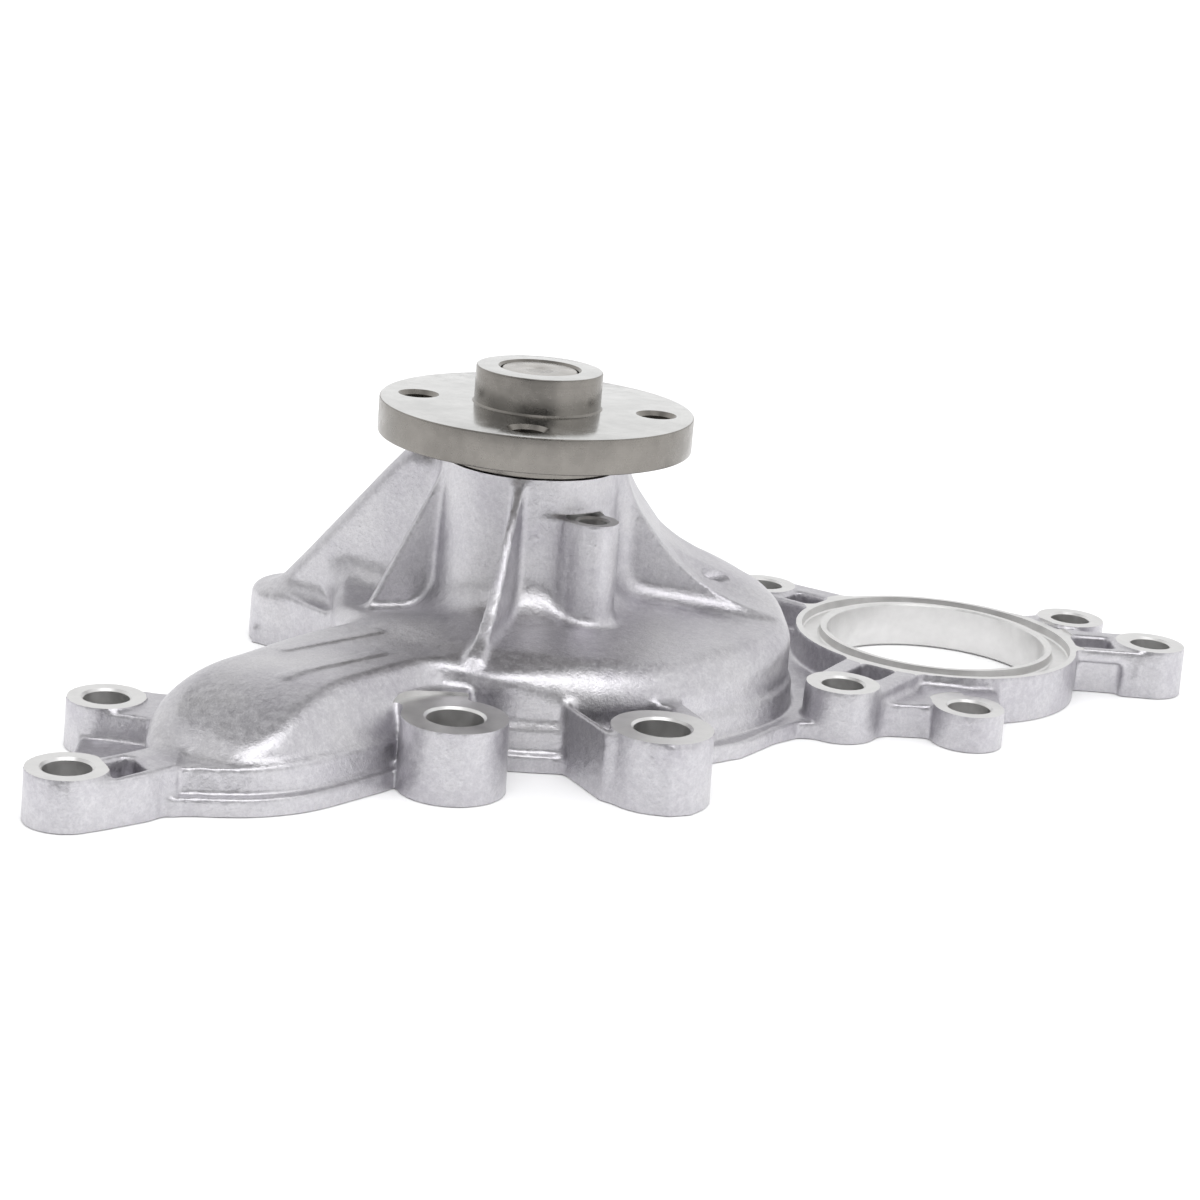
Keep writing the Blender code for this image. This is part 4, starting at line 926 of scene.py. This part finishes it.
def build():
    cast, milled = cast_aluminium(), machined_aluminium()
    body = pump_body()
    body.data.materials[0], body.data.materials[1] = cast, milled
    crisp(body, 25, only=1)
    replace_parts(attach(body, "housing"), "pump_body")

    # The hub's steel comes in two copies. The side faces get a dark one, which is painted shade. The upward faces get
    # a light one, which is painted light. Only the top's smoother roughness is a real faced finish.
    steel = turned_steel("turned_steel", (0.27, 0.255, 0.235), 0.26)
    faced = turned_steel("faced_steel_painted_light", (0.66, 0.66, 0.65), 0.15)
    ground = turned_steel("ground_steel", (0.52, 0.50, 0.475), 0.28)
    hub = pulley_hub()
    wear(hub, steel, faced)
    # Faces that point up take the light copy and the rest the dark one: painted light and shade, split by which way a
    # face points.
    for face in hub.data.polygons:
        face.material_index = int(face.normal.z > 0.9)
    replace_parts(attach(hub, "rotor"), "pulley_hub")
    axle = shaft()
    wear(axle, ground)
    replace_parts(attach(axle, "rotor"), "shaft")
    wheel = impeller()
    pressed = turned_steel("pressed_steel", (0.56, 0.57, 0.58), 0.34)
    wear(wheel, pressed)
    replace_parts(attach(wheel, "rotor"), "impeller")

    finishes = {
        "rubber": matt("rubber", (0.03, 0.03, 0.03), 0.65),
        "carbon": matt("carbon", (0.05, 0.05, 0.055), 0.45, 0.2, 0.004),
        "ceramic": matt("ceramic", (0.85, 0.83, 0.78), 0.25, 0.3, 0.002),
        "brass": turned_steel("brass", (0.72, 0.56, 0.26), 0.3),
        "nylon": matt("nylon", (0.35, 0.27, 0.17), 0.6, 0.6, 0.03),
        "shaft_steel": ground,
    }
    slots = {"slinger": "rubber", "seat_ring": "ceramic", "seat_cup": "rubber", "bearing_outer_ring": "shaft_steel",
             "front_lip_seal": "rubber", "rear_lip_seal": "rubber", "seal_cup": "brass", "seal_bellows": "rubber",
             "seal_spring": "shaft_steel", "carbon_ring": "carbon", "ball_cage": "nylon", "roller_cage": "nylon"}
    for name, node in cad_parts.items():
        if node.hide_render:
            continue
        slot = slots.get(name, "shaft_steel")
        wear(node, finishes[slot])


def camera():
    """The photograph's view: low, from the front, turned a little to the right."""
    data = bpy.data.cameras.new("camera")
    data.lens, data.sensor_width = 76.88, 36
    data.clip_start, data.clip_end = 0.01, 100
    made = bpy.data.objects.new("camera", data)
    forward, right, up = (Vector(v) for v in ((0.03018, 0.96138, -0.27357), (0.99664, -0.00811, 0.08146),
                                              (-0.07609, 0.27511, 0.95840)))
    turn = Matrix((right, up, -forward)).transposed()
    made.matrix_world = Matrix.Translation(AXIS + Vector((0, -527.245, 172.026)) * MM) @ turn.to_4x4()
    bpy.context.scene.collection.objects.link(made)
    bpy.context.scene.camera = made


def area_light(name, place, aim, size, watts):
    data = bpy.data.lights.new(name, "AREA")
    data.shape = "RECTANGLE"
    data.size, data.size_y = size
    data.energy = watts
    made = bpy.data.objects.new(name, data)
    made.location = place
    made.rotation_euler = (Vector(aim) - Vector(place)).to_track_quat("-Z", "Y").to_euler()
    bpy.context.scene.collection.objects.link(made)


def studio():
    """A white tent, dark overhead, on the camera's side and at the left, with a soft box and a pale floor."""
    scene = bpy.context.scene
    world = bpy.data.worlds.new("tent")
    scene.world = world
    world.use_nodes = True
    nodes, links = world.node_tree.nodes, world.node_tree.links
    background = nodes["Background"]
    place = nodes.new("ShaderNodeTexCoord")

    def towards(direction, start, end, low, high):
        """Low more than start away from a direction and high within end of it, as dot products."""
        facing = nodes.new("ShaderNodeVectorMath")
        facing.operation = "DOT_PRODUCT"
        facing.inputs[1].default_value = Vector(direction).normalized()
        links.new(place.outputs["Generated"], facing.inputs[0])
        ramp = nodes.new("ShaderNodeMapRange")
        for name, value in (("From Min", start), ("From Max", end), ("To Min", low), ("To Max", high)):
            ramp.inputs[name].default_value = value
        ramp.interpolation_type = "SMOOTHSTEP"
        links.new(facing.outputs["Value"], ramp.inputs["Value"])
        return ramp.outputs["Result"]

    def combined(operation, one, two):
        node = nodes.new("ShaderNodeMath")
        node.operation = operation
        links.new(one, node.inputs[0])
        links.new(two, node.inputs[1])
        return node.outputs[0]

    overhead = towards((0.0, 0.15, 0.99), 0.76, 0.98, 1.04, 0.22)
    camera_side = towards((0.03, -0.99, 0.04), 0.70, 0.97, 1.0, 0.05)
    left_side = towards((-0.85, -0.50, 0.15), 0.60, 0.95, 1.0, 0.50)
    strength = combined("MULTIPLY", combined("MULTIPLY", overhead, camera_side), left_side)
    ray = nodes.new("ShaderNodeLightPath")
    mix = nodes.new("ShaderNodeMath")
    mix.operation = "MAXIMUM"
    links.new(strength, mix.inputs[0])
    links.new(ray.outputs["Is Camera Ray"], mix.inputs[1])
    links.new(mix.outputs[0], background.inputs["Strength"])
    background.inputs["Color"].default_value = (1, 1, 1, 1)
    area_light("front_box", AXIS + Vector((0.1, -0.60, 0.95)), AXIS, (1.0, 0.6), 3.9)
    data = bpy.data.lights.new("floor_fill", "SUN")
    data.energy = 1.7
    data.angle = math.radians(100)
    fill = bpy.data.objects.new("floor_fill", data)
    fill.visible_glossy = False
    bpy.context.scene.collection.objects.link(fill)

    bm = bmesh.new()
    bmesh.ops.create_grid(bm, x_segments=1, y_segments=1, size=20)
    data = bpy.data.meshes.new("floor")
    bm.to_mesh(data)
    bm.free()
    floor = bpy.data.objects.new("floor", data)
    floor.location.z = cad_low.z - 0.0002
    bpy.context.scene.collection.objects.link(floor)
    paper = Surface("paper", (0.93, 0.93, 0.94), 0.6, 0.0)
    tone = paper.tint(paper.noise(60, 2), [(0.3, (0.925, 0.927, 0.935)), (0.7, (0.94, 0.94, 0.945))])
    wear(floor, paper.done(tone))
    scene.view_settings.view_transform = "Standard"


build()
camera()
studio()
